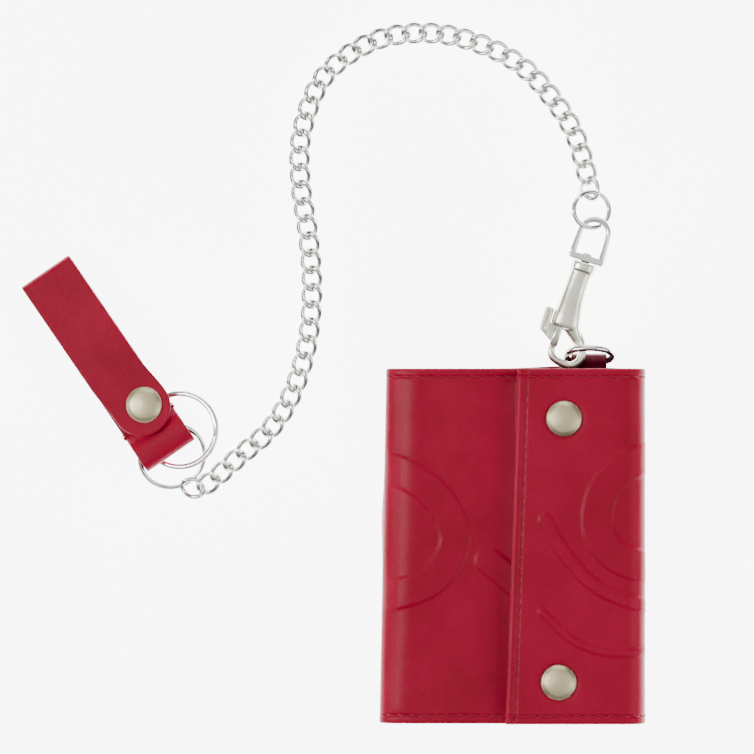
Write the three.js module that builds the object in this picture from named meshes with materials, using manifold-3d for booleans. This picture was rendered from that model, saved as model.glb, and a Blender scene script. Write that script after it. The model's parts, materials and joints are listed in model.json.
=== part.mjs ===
// Chain wallet: a three-panel leather wallet held shut by two snaps, with a swivel snap hook,
// a curb chain and a belt strap that carries two rings.
// Millimetres, +Z up. The wallet lies on its back, and its back face is centred on the origin.
import * as THREE from "three";
import { mergeVertices } from "three/addons/utils/BufferGeometryUtils.js";
import Module from "manifold-3d";

const wasm = await Module();
wasm.setup();

// ---- driving dimensions ----
const GAP = 0.3;              // clearance between pieces that touch

// wallet
const WALLET_W = 88;          // fold to fold
const WALLET_H = 119.8;       // top edge to bottom edge
const SHELL_T = 1.5;          // outer leather
const BACK_MID = SHELL_T / 2; // height of the middle of the back leather
const FRONT_MID = 11.45;      // height of the middle of the front panel
const FLAP_MID = 17.05;       // height of the middle of the closing flap
const TONGUE_END = 23;        // the front panel's hidden end, under the flap
const FLAP_EDGE_TOP = 0.8;    // free edge of the flap at the top
const FLAP_EDGE_BOTTOM = -3.3;
const LINING_T = 0.8;
const CORNER = 3;             // corner radius of the panels

// wallet snaps: [x, y]
const WALLET_SNAPS = [[16.4, 43.0], [14.6, -45.7]];
const CAP_R = 6.1;
const CAP_H = 1.7;

// D-ring and its tab
const RING_BAR = [62.6, 2.4]; // y and z of the D-ring's straight bar
const D_LEFT = 17.7;
const D_RIGHT = 32.8;
const D_DEPTH = 9.5;
const D_WIRE_R = 1.1;
const D_LEAN = 0.464;         // radians away from upright

// snap hook
const HOOK_Z = 6.6;
const HOOK_AT = [20.7, 86.3]; // waist of the barrel
const HOOK_TURN = 0.314;      // barrel axis, radians clockwise from +Y
const HOOK_WIRE_R = 1.4;
const PLUNGER_OFF = 1.6;      // plunger axis, left of the barrel axis
const PLUNGER_R = 1.5;
const EYE_WIRE_R = 1.0;
const EYE_ARCH_R = 4.7;
const EYE_ARCH_AT = 20.2;     // centre of the eye's arch, above the waist

// jump ring
const JUMP_AT = [26.0, 113.4];
const JUMP_R = 5.85;
const JUMP_WIRE_R = 0.65;
const JUMP_LEAN = 0.5;

// chain
const CHAIN_R = 2.5;
const CHAIN_SECTIONS = 7;
const CHAIN_SIDES = 10;

// belt strap, in its own frame: +X runs out of the ring end, +Y across
const STRAP_AT = [-115.8, 30.3];
const STRAP_TURN = -0.969;
const STRAP_TILT = -0.0378;
const STRAP_RISE = 4.2;
const STRAP_L = 75.4;
const STRAP_W = 19.4;
const STRAP_T = 1.2;
const LOOP_H = 5.1;           // inside height of the ring loop
const LOOP_L = 12.4;          // ring end to tack seam
const STRAP_FLAP_Z = 7.9;
const STRAP_FLAP_T = 1.4;
const STRAP_SNAP = [-19.2, 2.2];
const STRAP_TIP_R = 9.9;

// rings on the belt strap
const END_RING_R = 11.1;
const END_RING_WIRE_R = 0.9;
const END_RING_TILT = 0.36;
const END_RING_Z = 4.87;
const KEY_RING_AT = [-113.2, 39.0];
const KEY_RING_R = 12.4;
const KEY_RING_WIDE = 1.9;
const KEY_RING_THICK = 1.8;
const KEY_RING_TILT = 0.167;
const KEY_RING_HEADING = -0.375;
const KEY_RING_Z = 3.15;

// ---- materials ----
const leatherColour = 0xa01a30;
const darkLeatherColour = 0x6d1020;
const liningColour = 0x2a2224;
const nickelColour = 0xc9c7c2;
const steelColour = 0xb8b8ba;

const leather = (colour = leatherColour) =>
  new THREE.MeshStandardMaterial({ color: colour, roughness: 0.5, metalness: 0 });
const metal = (colour = nickelColour) =>
  new THREE.MeshStandardMaterial({ color: colour, roughness: 0.25, metalness: 1 });

// ---- helpers ----
const root = new THREE.Group();
root.name = "chain_wallet";

function piece(name, geometry, material, parent = root) {
  const mesh = new THREE.Mesh(geometry, material);
  mesh.name = name;
  parent.add(mesh);
  return mesh;
}

function toManifold(geometry) {
  const g = geometry.clone();
  g.deleteAttribute("normal");
  g.deleteAttribute("uv");
  const m = mergeVertices(g, 1e-4);
  return new wasm.Manifold(new wasm.Mesh({
    numProp: 3,
    vertProperties: new Float32Array(m.attributes.position.array),
    triVerts: new Uint32Array(m.index.array),
  }));
}

function fromManifold(solid) {
  const mesh = solid.getMesh();
  const g = new THREE.BufferGeometry();
  g.setAttribute("position", new THREE.BufferAttribute(new Float32Array(mesh.vertProperties), 3));
  g.setIndex(new THREE.BufferAttribute(new Uint32Array(mesh.triVerts), 1));
  g.computeVertexNormals();
  return g;
}

const union = (...parts) => fromManifold(parts.map(toManifold).reduce((a, b) => a.add(b)));
const cut = (body, ...tools) =>
  fromManifold(tools.map(toManifold).reduce((a, b) => a.subtract(b), toManifold(body)));

function outline(points, holes = []) {
  const shape = new THREE.Shape(points.map(([x, y]) => new THREE.Vector2(x, y)));
  for (const [x, y, r] of holes) {
    const hole = new THREE.Path();
    hole.absarc(x, y, r, 0, 2 * Math.PI, true);
    shape.holes.push(hole);
  }
  return shape;
}

// A flat sheet: a plan outline, lifted to z and given a thickness.
function sheet(points, z, thickness, holes = []) {
  const g = new THREE.ExtrudeGeometry(outline(points, holes), {
    depth: thickness, bevelEnabled: false, curveSegments: 10,
  });
  return g.translate(0, 0, z);
}

// A profile in X and Z, drawn out along Y from y0 to y1.
function drawn(profile, y0, y1) {
  const g = new THREE.ExtrudeGeometry(outline(profile), { depth: y1 - y0, bevelEnabled: false });
  return g.rotateX(Math.PI / 2).translate(0, y1, 0);
}

// Corner points of a rectangle whose corners in `rounded` (lower left, lower right,
// upper right, upper left) are turned with a radius.
function rectangle(x0, x1, y0, y1, radius, rounded = [1, 1, 1, 1]) {
  const steps = 4;
  const corners = [[x0, y0, 1, 1], [x1, y0, -1, 1], [x1, y1, -1, -1], [x0, y1, 1, -1]];
  const points = [];
  corners.forEach(([x, y, sx, sy], i) => {
    if (!rounded[i]) {
      points.push([x, y]);
      return;
    }
    const start = Math.PI + (i * Math.PI) / 2;
    for (let k = 0; k <= steps; k++) {
      const a = start + ((Math.PI / 2) * k) / steps;
      points.push([x + sx * radius + radius * Math.cos(a), y + sy * radius + radius * Math.sin(a)]);
    }
  });
  return points;
}

// A straight strip of leather seen end on, from point a to point b, with half-round ends.
function strip([ax, az], [bx, bz], thickness, roundA = true, roundB = true) {
  const r = thickness / 2;
  const heading = Math.atan2(bz - az, bx - ax);
  const steps = 6;
  const points = [];
  const end = (x, z, from, round) => {
    for (let k = 0; k <= steps; k++) {
      if (!round && k > 0 && k < steps) continue;
      const a = heading + from + (Math.PI * k) / steps;
      points.push([x + r * Math.cos(a), z + r * Math.sin(a)]);
    }
  };
  end(bx, bz, -Math.PI / 2, roundB);
  end(ax, az, Math.PI / 2, roundA);
  return points;
}

function lathe(profile, segments = 24) {
  const g = new THREE.LatheGeometry(profile.map(([r, z]) => new THREE.Vector2(r, z)), segments);
  return g.rotateX(Math.PI / 2);
}

function rod(radius, z0, z1, x = 0, y = 0, segments = 16) {
  return new THREE.CylinderGeometry(radius, radius, z1 - z0, segments)
    .rotateX(Math.PI / 2)
    .translate(x, y, (z0 + z1) / 2);
}

function block(x0, x1, y0, y1, z0, z1) {
  return new THREE.BoxGeometry(x1 - x0, y1 - y0, z1 - z0)
    .translate((x0 + x1) / 2, (y0 + y1) / 2, (z0 + z1) / 2);
}

// A bar along a curve with domed ends; radiusAt takes 0..1 along its length.
function bar(curve, radiusAt, steps, sides) {
  const length = curve.getLength();
  const stations = [];
  const dome = [0.134, 0.5, 1];
  const r0 = radiusAt(0);
  const r1 = radiusAt(1);
  dome.forEach((d, i) => stations.push([(r0 * d) / length, r0 * Math.sin(((i + 1) * Math.PI) / 6)]));
  for (let k = 1; k < steps; k++) {
    const s = (r0 + ((length - r0 - r1) * k) / steps) / length;
    stations.push([s, radiusAt(s)]);
  }
  dome.slice().reverse().forEach((d, i) =>
    stations.push([1 - (r1 * d) / length, r1 * Math.sin(((3 - i) * Math.PI) / 6)]));
  const positions = [];
  const put = (p) => positions.push(p.x, p.y, p.z);
  put(curve.getPointAt(0));
  for (const [s, r] of stations) {
    const centre = curve.getPointAt(s);
    const tangent = curve.getTangentAt(s);
    const across = new THREE.Vector3().crossVectors(tangent, new THREE.Vector3(0, 0, 1)).normalize();
    const up = new THREE.Vector3().crossVectors(across, tangent);
    for (let k = 0; k < sides; k++) {
      const a = (2 * Math.PI * (k + 0.5)) / sides;
      put(centre.clone().addScaledVector(across, r * Math.cos(a)).addScaledVector(up, r * Math.sin(a)));
    }
  }
  put(curve.getPointAt(1));
  const last = positions.length / 3 - 1;
  const index = [];
  for (let k = 0; k < sides; k++) {
    const n = (k + 1) % sides;
    index.push(0, 1 + k, 1 + n);
    for (let j = 0; j < stations.length - 1; j++) {
      const a = 1 + j * sides;
      index.push(a + k, a + sides + n, a + n, a + k, a + sides + k, a + sides + n);
    }
    index.push(last, last - sides + n, last - sides + k);
  }
  const g = new THREE.BufferGeometry();
  g.setAttribute("position", new THREE.Float32BufferAttribute(positions, 3));
  g.setIndex(index);
  g.computeVertexNormals();
  return g;
}

const point = ([x, y, z]) => new THREE.Vector3(x, y, z);
const smooth = (points, closed = false) =>
  new THREE.CatmullRomCurve3(points.map(point), closed, "centripetal");

// ---- wallet shell ----
const half = WALLET_W / 2;
const fold = half - SHELL_T / 2;      // middle of the fold leather
const top = WALLET_H / 2;
const reach = SHELL_T + GAP;          // fold line to the end of the next piece

piece("back_outer",
  drawn(strip([-fold, BACK_MID], [fold, BACK_MID], SHELL_T), -top, top), leather());
piece("left_fold",
  drawn(strip([-fold, BACK_MID + reach], [-fold, FRONT_MID], SHELL_T), -top, top), leather());
piece("right_fold",
  drawn(strip([fold, BACK_MID + reach], [fold, FLAP_MID], SHELL_T), -top, top), leather());
piece("front_outer",
  drawn(strip([reach - fold, FRONT_MID], [0, FRONT_MID], SHELL_T, true, false), -top, top), leather());

// ---- inside the wallet: layers from the back leather upward ----
const inside = half - SHELL_T - 1.5;
const BACK_LINING_Z = 3.2;
const FRONT_LINING_Z = 9.6;
const INNER_LAYERS = [
  // name, left, right, top edge, z, thickness
  ["back_lining", -inside, inside, top - 0.6, BACK_LINING_Z, LINING_T],
  ["bill_divider", -inside, inside, top - 5, 4.5, 0.6],
  ["card_pocket_1", -inside + 1, inside - 1, top - 16, 5.4, 0.6],
  ["card_pocket_2", -inside + 1, inside - 1, top - 30, 6.3, 0.6],
  ["card_pocket_3", -inside + 1, inside - 1, top - 44, 7.2, 0.6],
];
for (const [name, x0, x1, y1, z, t] of INNER_LAYERS) {
  piece(name, sheet(rectangle(x0, x1, 0.6 - top, y1, CORNER), z, t), leather(liningColour));
}
piece("front_lining",
  sheet(rectangle(-inside, -0.5, 0.6 - top, top - 0.6, CORNER, [1, 0, 0, 1]), FRONT_LINING_Z, LINING_T),
  leather(liningColour));
piece("front_card_pocket",
  sheet(rectangle(1 - inside, -1.5, 0.6 - top, top - 22, CORNER, [1, 0, 0, 1]), 8.5, LINING_T),
  leather(liningColour));

// ---- hidden end of the front panel, with the studs ----
const POST_HOLE_R = 1.9;
const TONGUE_Z = FRONT_MID - SHELL_T / 2;
const TONGUE_T = 1.3;
piece("front_tongue",
  sheet(rectangle(GAP, TONGUE_END, -top, top, CORNER, [0, 1, 1, 0]), TONGUE_Z, TONGUE_T,
    WALLET_SNAPS.map(([x, y]) => [x, y, POST_HOLE_R])),
  leather());

// ---- closing flap ----
const flapRight = fold - SHELL_T / 2 - GAP;
const flapZ = FLAP_MID - SHELL_T / 2;
const flapLiningZ = flapZ - GAP - LINING_T;
const snapHoles = WALLET_SNAPS.map(([x, y]) => [x, y, POST_HOLE_R]);
const flapOutline = (inset, right, radius) => {
  const x0 = FLAP_EDGE_BOTTOM + inset;
  const x1 = FLAP_EDGE_TOP + inset;
  const edge = top - inset / 4;
  return [[right, -edge], [right, edge], [x1 + radius, edge], [x1, edge - radius],
    [x0, radius - edge], [x0 + radius, -edge]];
};
piece("flap_outer", sheet(flapOutline(0, flapRight, 1), flapZ, SHELL_T, snapHoles), leather());
piece("flap_lining",
  sheet(flapOutline(2, inside, 1), flapLiningZ, LINING_T, snapHoles), leather(liningColour));

// ---- snaps ----
// Each snap is a cap and socket that grip the upper leather, and a stud and washer that grip the lower.
const POST_R = 1.5;
function snapTop(name, x, y, leatherTop, socketTop, parent = root) {
  const z = leatherTop + GAP;
  const capProfile = [[0, socketTop - 0.3], [POST_R, socketTop - 0.3], [POST_R, z], [CAP_R - 0.3, z],
    [CAP_R, z + 0.45], [5.5, z + 0.95], [4.2, z + 1.35], [2.3, z + CAP_H - 0.08], [0, z + CAP_H]];
  const socketProfile = [[2.4, socketTop - 2.0], [5.0, socketTop - 2.0], [5.0, socketTop - 0.4],
    [4.4, socketTop], [1.8, socketTop], [1.8, socketTop - 0.6], [2.4, socketTop - 0.6],
    [2.4, socketTop - 2.0]];
  piece(`${name}_cap`, lathe(capProfile, 32), metal(), parent).position.set(x, y, 0);
  piece(`${name}_socket`, lathe(socketProfile), metal(steelColour), parent).position.set(x, y, 0);
}
function snapBottom(name, x, y, leatherTop, leatherBottom, parent = root) {
  const z = leatherTop + GAP;
  const foot = leatherBottom - 0.7;
  const studProfile = [[0, foot], [1.4, foot], [1.4, z], [4.3, z], [4.3, z + 0.3], [1.7, z + 0.3],
    [1.7, z + 0.7], [2.0, z + 1.1], [2.0, z + 1.5], [1.4, z + 1.8], [0, z + 1.8]];
  const washerProfile = [[1.8, foot - 0.2], [4.2, foot - 0.2], [4.2, foot + 0.4], [1.8, foot + 0.4],
    [1.8, foot - 0.2]];
  piece(`${name}_stud`, lathe(studProfile, 20), metal(steelColour), parent).position.set(x, y, 0);
  piece(`${name}_washer`, lathe(washerProfile, 20), metal(steelColour), parent).position.set(x, y, 0);
}
WALLET_SNAPS.forEach(([x, y], i) => {
  snapTop(`snap_${i + 1}`, x, y, flapZ + SHELL_T, flapLiningZ - GAP);
  snapBottom(`snap_${i + 1}`, x, y, TONGUE_Z + TONGUE_T, TONGUE_Z);
});

// ---- D-ring tab and D-ring ----
const [barY, barZ] = RING_BAR;
const TAB_LOOP_R = D_WIRE_R + GAP + 0.9;
const TAB_LEFT = D_LEFT + D_WIRE_R + 0.4;
const TAB_RIGHT = D_RIGHT - D_WIRE_R - 0.5;
const TAB_TAIL_Z = 1.9;
const tabLoop = rod(TAB_LOOP_R, TAB_LEFT, TAB_RIGHT, 0, 0, 20).rotateY(Math.PI / 2);
tabLoop.translate(0, barY, barZ);
const tabBore = rod(D_WIRE_R + GAP, TAB_LEFT - 1, TAB_RIGHT + 1, 0, 0, 20).rotateY(Math.PI / 2);
tabBore.translate(0, barY, barZ);
const tabTail = sheet([[11, 46], [TAB_RIGHT, 46], [TAB_RIGHT, 61.2], [TAB_LEFT, 61.2], [11, top]],
  TAB_TAIL_Z, 1.0);
piece("d_ring_tab", cut(union(tabLoop, tabTail), tabBore), leather(darkLeatherColour));

// the D lies in the X-Z plane before it leans back about its bar
const dMid = (D_LEFT + D_RIGHT) / 2;
const dCurve = smooth([
  [D_LEFT + 1.8, 0, 0], [dMid, 0, 0], [D_RIGHT - 1.8, 0, 0], [D_RIGHT, 0, 1.8], [D_RIGHT, 0, 5.0],
  [D_RIGHT - 2.3, 0, D_DEPTH - 1.4], [dMid, 0, D_DEPTH], [D_LEFT + 2.3, 0, D_DEPTH - 1.4],
  [D_LEFT, 0, 5.0], [D_LEFT, 0, 1.8],
], true);
const dRing = new THREE.TubeGeometry(dCurve, 44, D_WIRE_R, 10, true);
const dMesh = piece("d_ring", dRing, metal());
dMesh.rotation.x = -D_LEAN;
dMesh.position.set(0, barY, barZ);

// ---- snap hook, in a frame whose +Y runs up the barrel ----
const hook = new THREE.Group();
hook.name = "snap_hook";
hook.position.set(HOOK_AT[0], HOOK_AT[1], HOOK_Z);
hook.rotation.z = -HOOK_TURN;
root.add(hook);
const turned = (profile, segments = 24) =>
  new THREE.LatheGeometry(profile.map(([r, y]) => new THREE.Vector2(r, y)), segments);
const pin = (radius, y0, y1, x, segments = 16) =>
  new THREE.CylinderGeometry(radius, radius, y1 - y0, segments).translate(x, (y0 + y1) / 2, 0);

const barrel = turned([[0, -12.5], [3.6, -12.5], [4.2, -11.5], [4.25, -8.5], [3.7, -3.5], [3.3, 0.5],
  [3.5, 6.5], [4.2, 7.8], [4.3, 9.2], [3.9, 9.7], [0, 9.7]], 28);
const throat = smooth([[1.9, -9.0, 0], [3.6, -12.6, 0], [6.9, -16.0, 0], [8.5, -19.3, 0], [8.3, -22.6, 0],
  [6.1, -24.8, 0], [2.7, -24.8, 0], [-0.6, -23.5, 0], [-1.6, -21.6, 0], [-PLUNGER_OFF, -19.9, 0]]);
const arm = bar(throat, (s) => HOOK_WIRE_R + 1.3 * Math.max(0, 1 - s / 0.2), 22, 12);
const SPRING_ROOM = -3.6;     // inner end of the plunger's bore
const slot = block(-6, -PLUNGER_OFF, -13.5, -4.4, -0.9, 0.9);
const plungerBore = pin(PLUNGER_R + GAP, -13.5, SPRING_ROOM, -PLUNGER_OFF);
const swivelBore = pin(1.8, 3.0, 10.5, 0);
const swivelRoom = pin(2.6, -0.6, 3.1, 0);
piece("hook_body", cut(union(barrel, arm), plungerBore, slot, swivelBore, swivelRoom), metal(), hook);

// plunger with its thumb tab
const plunger = pin(PLUNGER_R, -19.4, -9.0, -PLUNGER_OFF);
const neck = block(-5.6, -PLUNGER_OFF, -12.2, -10.2, -0.6, 0.6);
const thumb = block(-6.6, -4.9, -16.4, -7.7, -2.2, 2.2);
piece("latch", union(plunger, neck, thumb), metal(), hook);

const COIL_TURNS = 4;
const coilPoints = [];
for (let k = 0; k <= COIL_TURNS * 8; k++) {
  const a = (2 * Math.PI * k) / 8;
  coilPoints.push([
    1.1 * Math.cos(a) - PLUNGER_OFF, -8.3 + (4.1 * k) / (COIL_TURNS * 8), 1.1 * Math.sin(a),
  ]);
}
piece("latch_spring", bar(smooth(coilPoints), () => 0.25, 34, 6), metal(steelColour), hook);

// swivel eye with its stem and captive head
const stem = turned([[0, 0.0], [2.2, 0.0], [2.2, 2.2], [1.5, 2.2], [1.5, 11], [0, 11]], 18);
const eyeBase = block(-5.9, 5.9, 10.1, 12.3, -1.9, 1.9);
const archPoints = [[-5.0, 11.4, 0], [-5.0, 15.5, 0]];
for (let k = 0; k <= 6; k++) {
  const a = Math.PI - (Math.PI * k) / 6;
  archPoints.push([EYE_ARCH_R * Math.cos(a), EYE_ARCH_AT + EYE_ARCH_R * Math.sin(a), 0]);
}
archPoints.push([5.0, 15.5, 0], [5.0, 11.4, 0]);
const arch = bar(smooth(archPoints), () => EYE_WIRE_R, 26, 10);
piece("swivel_eye", union(stem, eyeBase, arch), metal(), hook);

// ---- jump ring: leans about the line that joins it to the eye ----
const torus = (radius, wire, sides, steps) => new THREE.TorusGeometry(radius, wire, sides, steps);
const jump = new THREE.Group();
jump.name = "jump_ring_frame";
jump.position.set(JUMP_AT[0], JUMP_AT[1], HOOK_Z);
jump.rotation.z = 0.12;
root.add(jump);
piece("jump_ring", torus(JUMP_R, JUMP_WIRE_R, 8, 32), metal(), jump).rotation.y = JUMP_LEAN;

// ---- chain: seven sections laid end to end from the jump ring to the end ring ----
const CHAIN_ROUTE = [
  [25.5, 120.3], [23.8, 128.1], [20.3, 139.4], [14.0, 149.8], [4.0, 161.0], [-9.0, 168.7],
  [-25.8, 173.2], [-42.7, 172.2], [-56.0, 166.2], [-66.1, 156.2], [-72.0, 139.4], [-72.4, 123.0],
  [-69.6, 103.5], [-68.5, 86.0], [-70.1, 68.4], [-75.0, 52.0], [-82.5, 39.5], [-93.0, 30.2],
  [-101.5, 22.6], [-107.0, 18.9],
];
const START_Z = 6.4;
const FLAT_AFTER = 4;         // route points until the chain lies flat
const chainCurve = smooth(CHAIN_ROUTE.map(([x, y], i) => {
  const drop = Math.max(0, 1 - i / FLAT_AFTER);
  return [x, y, CHAIN_R + 0.02 + (START_Z - CHAIN_R) * drop * drop];
}));
chainCurve.arcLengthDivisions = 800;
const chainLength = chainCurve.getLength();
const sectionLength = (chainLength - (CHAIN_SECTIONS - 1) * GAP) / CHAIN_SECTIONS;
const SECTION_STEPS = 6;
for (let i = 0; i < CHAIN_SECTIONS; i++) {
  const start = i * (sectionLength + GAP);
  const points = [];
  for (let k = 0; k <= SECTION_STEPS; k++) {
    const p = chainCurve.getPointAt(Math.min(1, (start + (sectionLength * k) / SECTION_STEPS) / chainLength));
    points.push([p.x, p.y, p.z]);
  }
  piece(`chain_section_${i + 1}`, bar(smooth(points), () => CHAIN_R, SECTION_STEPS, CHAIN_SIDES), metal());
}

// ---- belt strap ----
const strapFrame = new THREE.Group();
strapFrame.name = "strap_frame";
strapFrame.position.set(STRAP_AT[0], STRAP_AT[1], 0);
strapFrame.rotation.z = STRAP_TURN;
root.add(strapFrame);
const strap = new THREE.Group();
strap.name = "belt_strap";
strap.position.z = STRAP_RISE;
strap.rotation.y = STRAP_TILT;
strapFrame.add(strap);

const loopTop = STRAP_T + LOOP_H + STRAP_T;
const turnX = -STRAP_L + STRAP_FLAP_T / 2;
const turnTop = STRAP_FLAP_Z + STRAP_FLAP_T / 2;
const seam = -LOOP_L;
// one piece of leather seen from its side: back layer, ring loop and the end sewn down on the back layer
const strapProfile = [
  [-STRAP_L, 1.4], [-STRAP_L + 1.4, 0], [-2.4, 0], [-0.7, 0.7], [0, 2.4], [0, loopTop - 2.4],
  [-0.7, loopTop - 0.7], [-2.4, loopTop], [seam, loopTop], [seam - 1.6, 2.5], [-27, 2.5], [-28, STRAP_T],
  [-STRAP_L + STRAP_FLAP_T, STRAP_T], [-STRAP_L + STRAP_FLAP_T, turnTop],
  [turnX + 0.5, turnTop + 0.5], [turnX, turnTop + 0.7], [turnX - 0.5, turnTop + 0.5], [-STRAP_L, turnTop],
];
const loopHole = [
  [seam, STRAP_T], [-2.4, STRAP_T], [-1.3, 2.4], [-1.3, loopTop - 2.4], [-2.4, loopTop - STRAP_T],
  [seam, loopTop - STRAP_T],
];
const halfWidth = STRAP_W / 2;
const [snapX, snapY] = STRAP_SNAP;
const strapSolid = cut(
  drawn(strapProfile, -halfWidth, halfWidth),
  drawn(loopHole, -halfWidth - 1, halfWidth + 1),
  rod(POST_HOLE_R, -1, 5, snapX, snapY),
);
piece("strap_back", strapSolid, leather(), strap);

// front layer, which ends in a half circle around its snap
const flapStart = turnX + STRAP_FLAP_T / 2 + GAP;
const frontOutline = [[flapStart, -halfWidth], [snapX - 4, -halfWidth + 0.6]];
for (let k = 0; k <= 12; k++) {
  const a = -Math.PI / 2 + (Math.PI * k) / 12;
  frontOutline.push([snapX + STRAP_TIP_R * Math.cos(a), snapY / 2 + STRAP_TIP_R * Math.sin(a)]);
}
frontOutline.push([snapX - 4, halfWidth], [flapStart, halfWidth]);
piece("strap_front",
  sheet(frontOutline, STRAP_FLAP_Z, STRAP_FLAP_T, [[snapX, snapY, POST_HOLE_R]]), leather(), strap);
snapTop("strap_snap", snapX, snapY, STRAP_FLAP_Z + STRAP_FLAP_T, STRAP_FLAP_Z - GAP, strap);
snapBottom("strap_snap", snapX, snapY, 2.5, 0, strap);

// ---- rings on the strap ----
const endRing = piece("end_ring", torus(END_RING_R, END_RING_WIRE_R, 8, 40), metal(), strapFrame);
endRing.position.z = END_RING_Z;
endRing.rotation.y = END_RING_TILT;

// split key ring: a flat ring with a groove between its two coils
const halfThick = KEY_RING_THICK / 2;
const inner = KEY_RING_R - KEY_RING_WIDE / 2;
const outer = KEY_RING_R + KEY_RING_WIDE / 2;
const keyProfile = [[inner, -halfThick], [outer, -halfThick], [outer, -0.1], [outer - 0.5, 0], [outer, 0.1],
  [outer, halfThick], [inner, halfThick], [inner, -halfThick]];
const keyFrame = new THREE.Group();
keyFrame.name = "key_ring_frame";
keyFrame.position.set(KEY_RING_AT[0], KEY_RING_AT[1], KEY_RING_Z);
keyFrame.rotation.z = KEY_RING_HEADING;
root.add(keyFrame);
piece("key_ring", lathe(keyProfile, 44), metal(steelColour), keyFrame).rotation.y = -KEY_RING_TILT;

export default root;
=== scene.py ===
"""Chain wallet: leather panels, snaps, D-ring, snap hook, curb chain, rings and belt strap."""
import json
import math
import bmesh
import bpy
import numpy as np
from mathutils import Matrix, Vector
from mathutils.bvhtree import BVHTree


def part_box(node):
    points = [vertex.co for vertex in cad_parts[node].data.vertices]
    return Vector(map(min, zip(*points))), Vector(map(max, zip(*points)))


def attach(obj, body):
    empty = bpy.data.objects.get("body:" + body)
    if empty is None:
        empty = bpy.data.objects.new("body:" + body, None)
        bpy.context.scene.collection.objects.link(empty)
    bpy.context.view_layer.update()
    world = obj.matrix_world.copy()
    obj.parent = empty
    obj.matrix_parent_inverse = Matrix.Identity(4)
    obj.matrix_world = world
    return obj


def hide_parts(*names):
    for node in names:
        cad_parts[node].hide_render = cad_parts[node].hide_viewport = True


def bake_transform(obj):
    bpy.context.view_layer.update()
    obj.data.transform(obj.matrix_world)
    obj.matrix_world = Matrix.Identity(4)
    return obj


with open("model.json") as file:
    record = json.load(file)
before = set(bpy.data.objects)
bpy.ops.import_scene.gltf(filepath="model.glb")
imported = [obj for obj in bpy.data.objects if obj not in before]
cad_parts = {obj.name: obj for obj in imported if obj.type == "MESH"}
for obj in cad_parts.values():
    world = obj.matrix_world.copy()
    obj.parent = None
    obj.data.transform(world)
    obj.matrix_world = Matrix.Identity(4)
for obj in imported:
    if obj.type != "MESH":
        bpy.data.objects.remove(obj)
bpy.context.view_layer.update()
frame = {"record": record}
MM = 0.001

# ---------------------------------------------------------------- camera, light and floor
scene = bpy.context.scene
VIEW_AT = (-46.5, 57.0)      # the point the camera stands over, mm
VIEW_UP = 2500.0             # camera height, mm
VIEW_WIDE = 254.5            # width of the view, mm, at the height VIEW_PLANE
VIEW_PLANE = 9.0
SENSOR = 36
camera_data = bpy.data.cameras.new("camera")
camera_data.sensor_width = SENSOR
camera_data.lens = SENSOR * (VIEW_UP - VIEW_PLANE) / VIEW_WIDE
camera_data.clip_end = 10
camera = bpy.data.objects.new("camera", camera_data)
camera.location = (VIEW_AT[0] * MM, VIEW_AT[1] * MM, VIEW_UP * MM)
scene.collection.objects.link(camera)
scene.camera = camera


def area_light(name, at, towards, size, power, colour=(1, 1, 1)):
    data = bpy.data.lights.new(name, "AREA")
    data.shape = "RECTANGLE"
    data.size, data.size_y = size
    data.energy = power
    data.color = colour
    lamp = bpy.data.objects.new(name, data)
    lamp.location = at
    lamp.rotation_euler = (Vector(towards) - Vector(at)).to_track_quat("-Z", "Y").to_euler()
    scene.collection.objects.link(lamp)


MIDDLE = (-0.05, 0.06, 0)
area_light("key", (-0.86, 0.1, 1.15), MIDDLE, (0.2, 0.8), 14.5)
area_light("fill", (0.9, -0.25, 0.9), MIDDLE, (0.6, 0.8), 6)
area_light("rim", (0, 1.15, 0.85), (0, 0.06, 0), (1.0, 0.25), 6)
area_light("overhead", (-0.05, 0.1, 1.6), MIDDLE, (0.9, 0.9), 1.0, (1.0, 0.985, 0.95))


def colour_ramp(nodes, stops):
    ramp = nodes.new("ShaderNodeValToRGB")
    while len(ramp.color_ramp.elements) < len(stops):
        ramp.color_ramp.elements.new(0.5)
    for element, (position, colour) in zip(ramp.color_ramp.elements, stops):
        element.position = position
        element.color = (*colour, 1)
    return ramp


def studio_world():
    """Dark along the horizon and white overhead."""
    world = bpy.data.worlds.new("studio")
    world.use_nodes = True
    nodes, links = world.node_tree.nodes, world.node_tree.links
    nodes.clear()
    coords = nodes.new("ShaderNodeTexCoord")
    split = nodes.new("ShaderNodeSeparateXYZ")
    ramp = colour_ramp(nodes, [(0, (0.03, 0.03, 0.032)), (0.55, (0.22, 0.22, 0.225)), (0.95, (1, 1, 1))])
    background = nodes.new("ShaderNodeBackground")
    background.inputs["Strength"].default_value = 0.8
    out = nodes.new("ShaderNodeOutputWorld")
    links.new(coords.outputs["Generated"], split.inputs[0])
    links.new(split.outputs["Z"], ramp.inputs[0])
    links.new(ramp.outputs[0], background.inputs["Color"])
    links.new(background.outputs[0], out.inputs["Surface"])
    return world


scene.world = studio_world()


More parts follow.
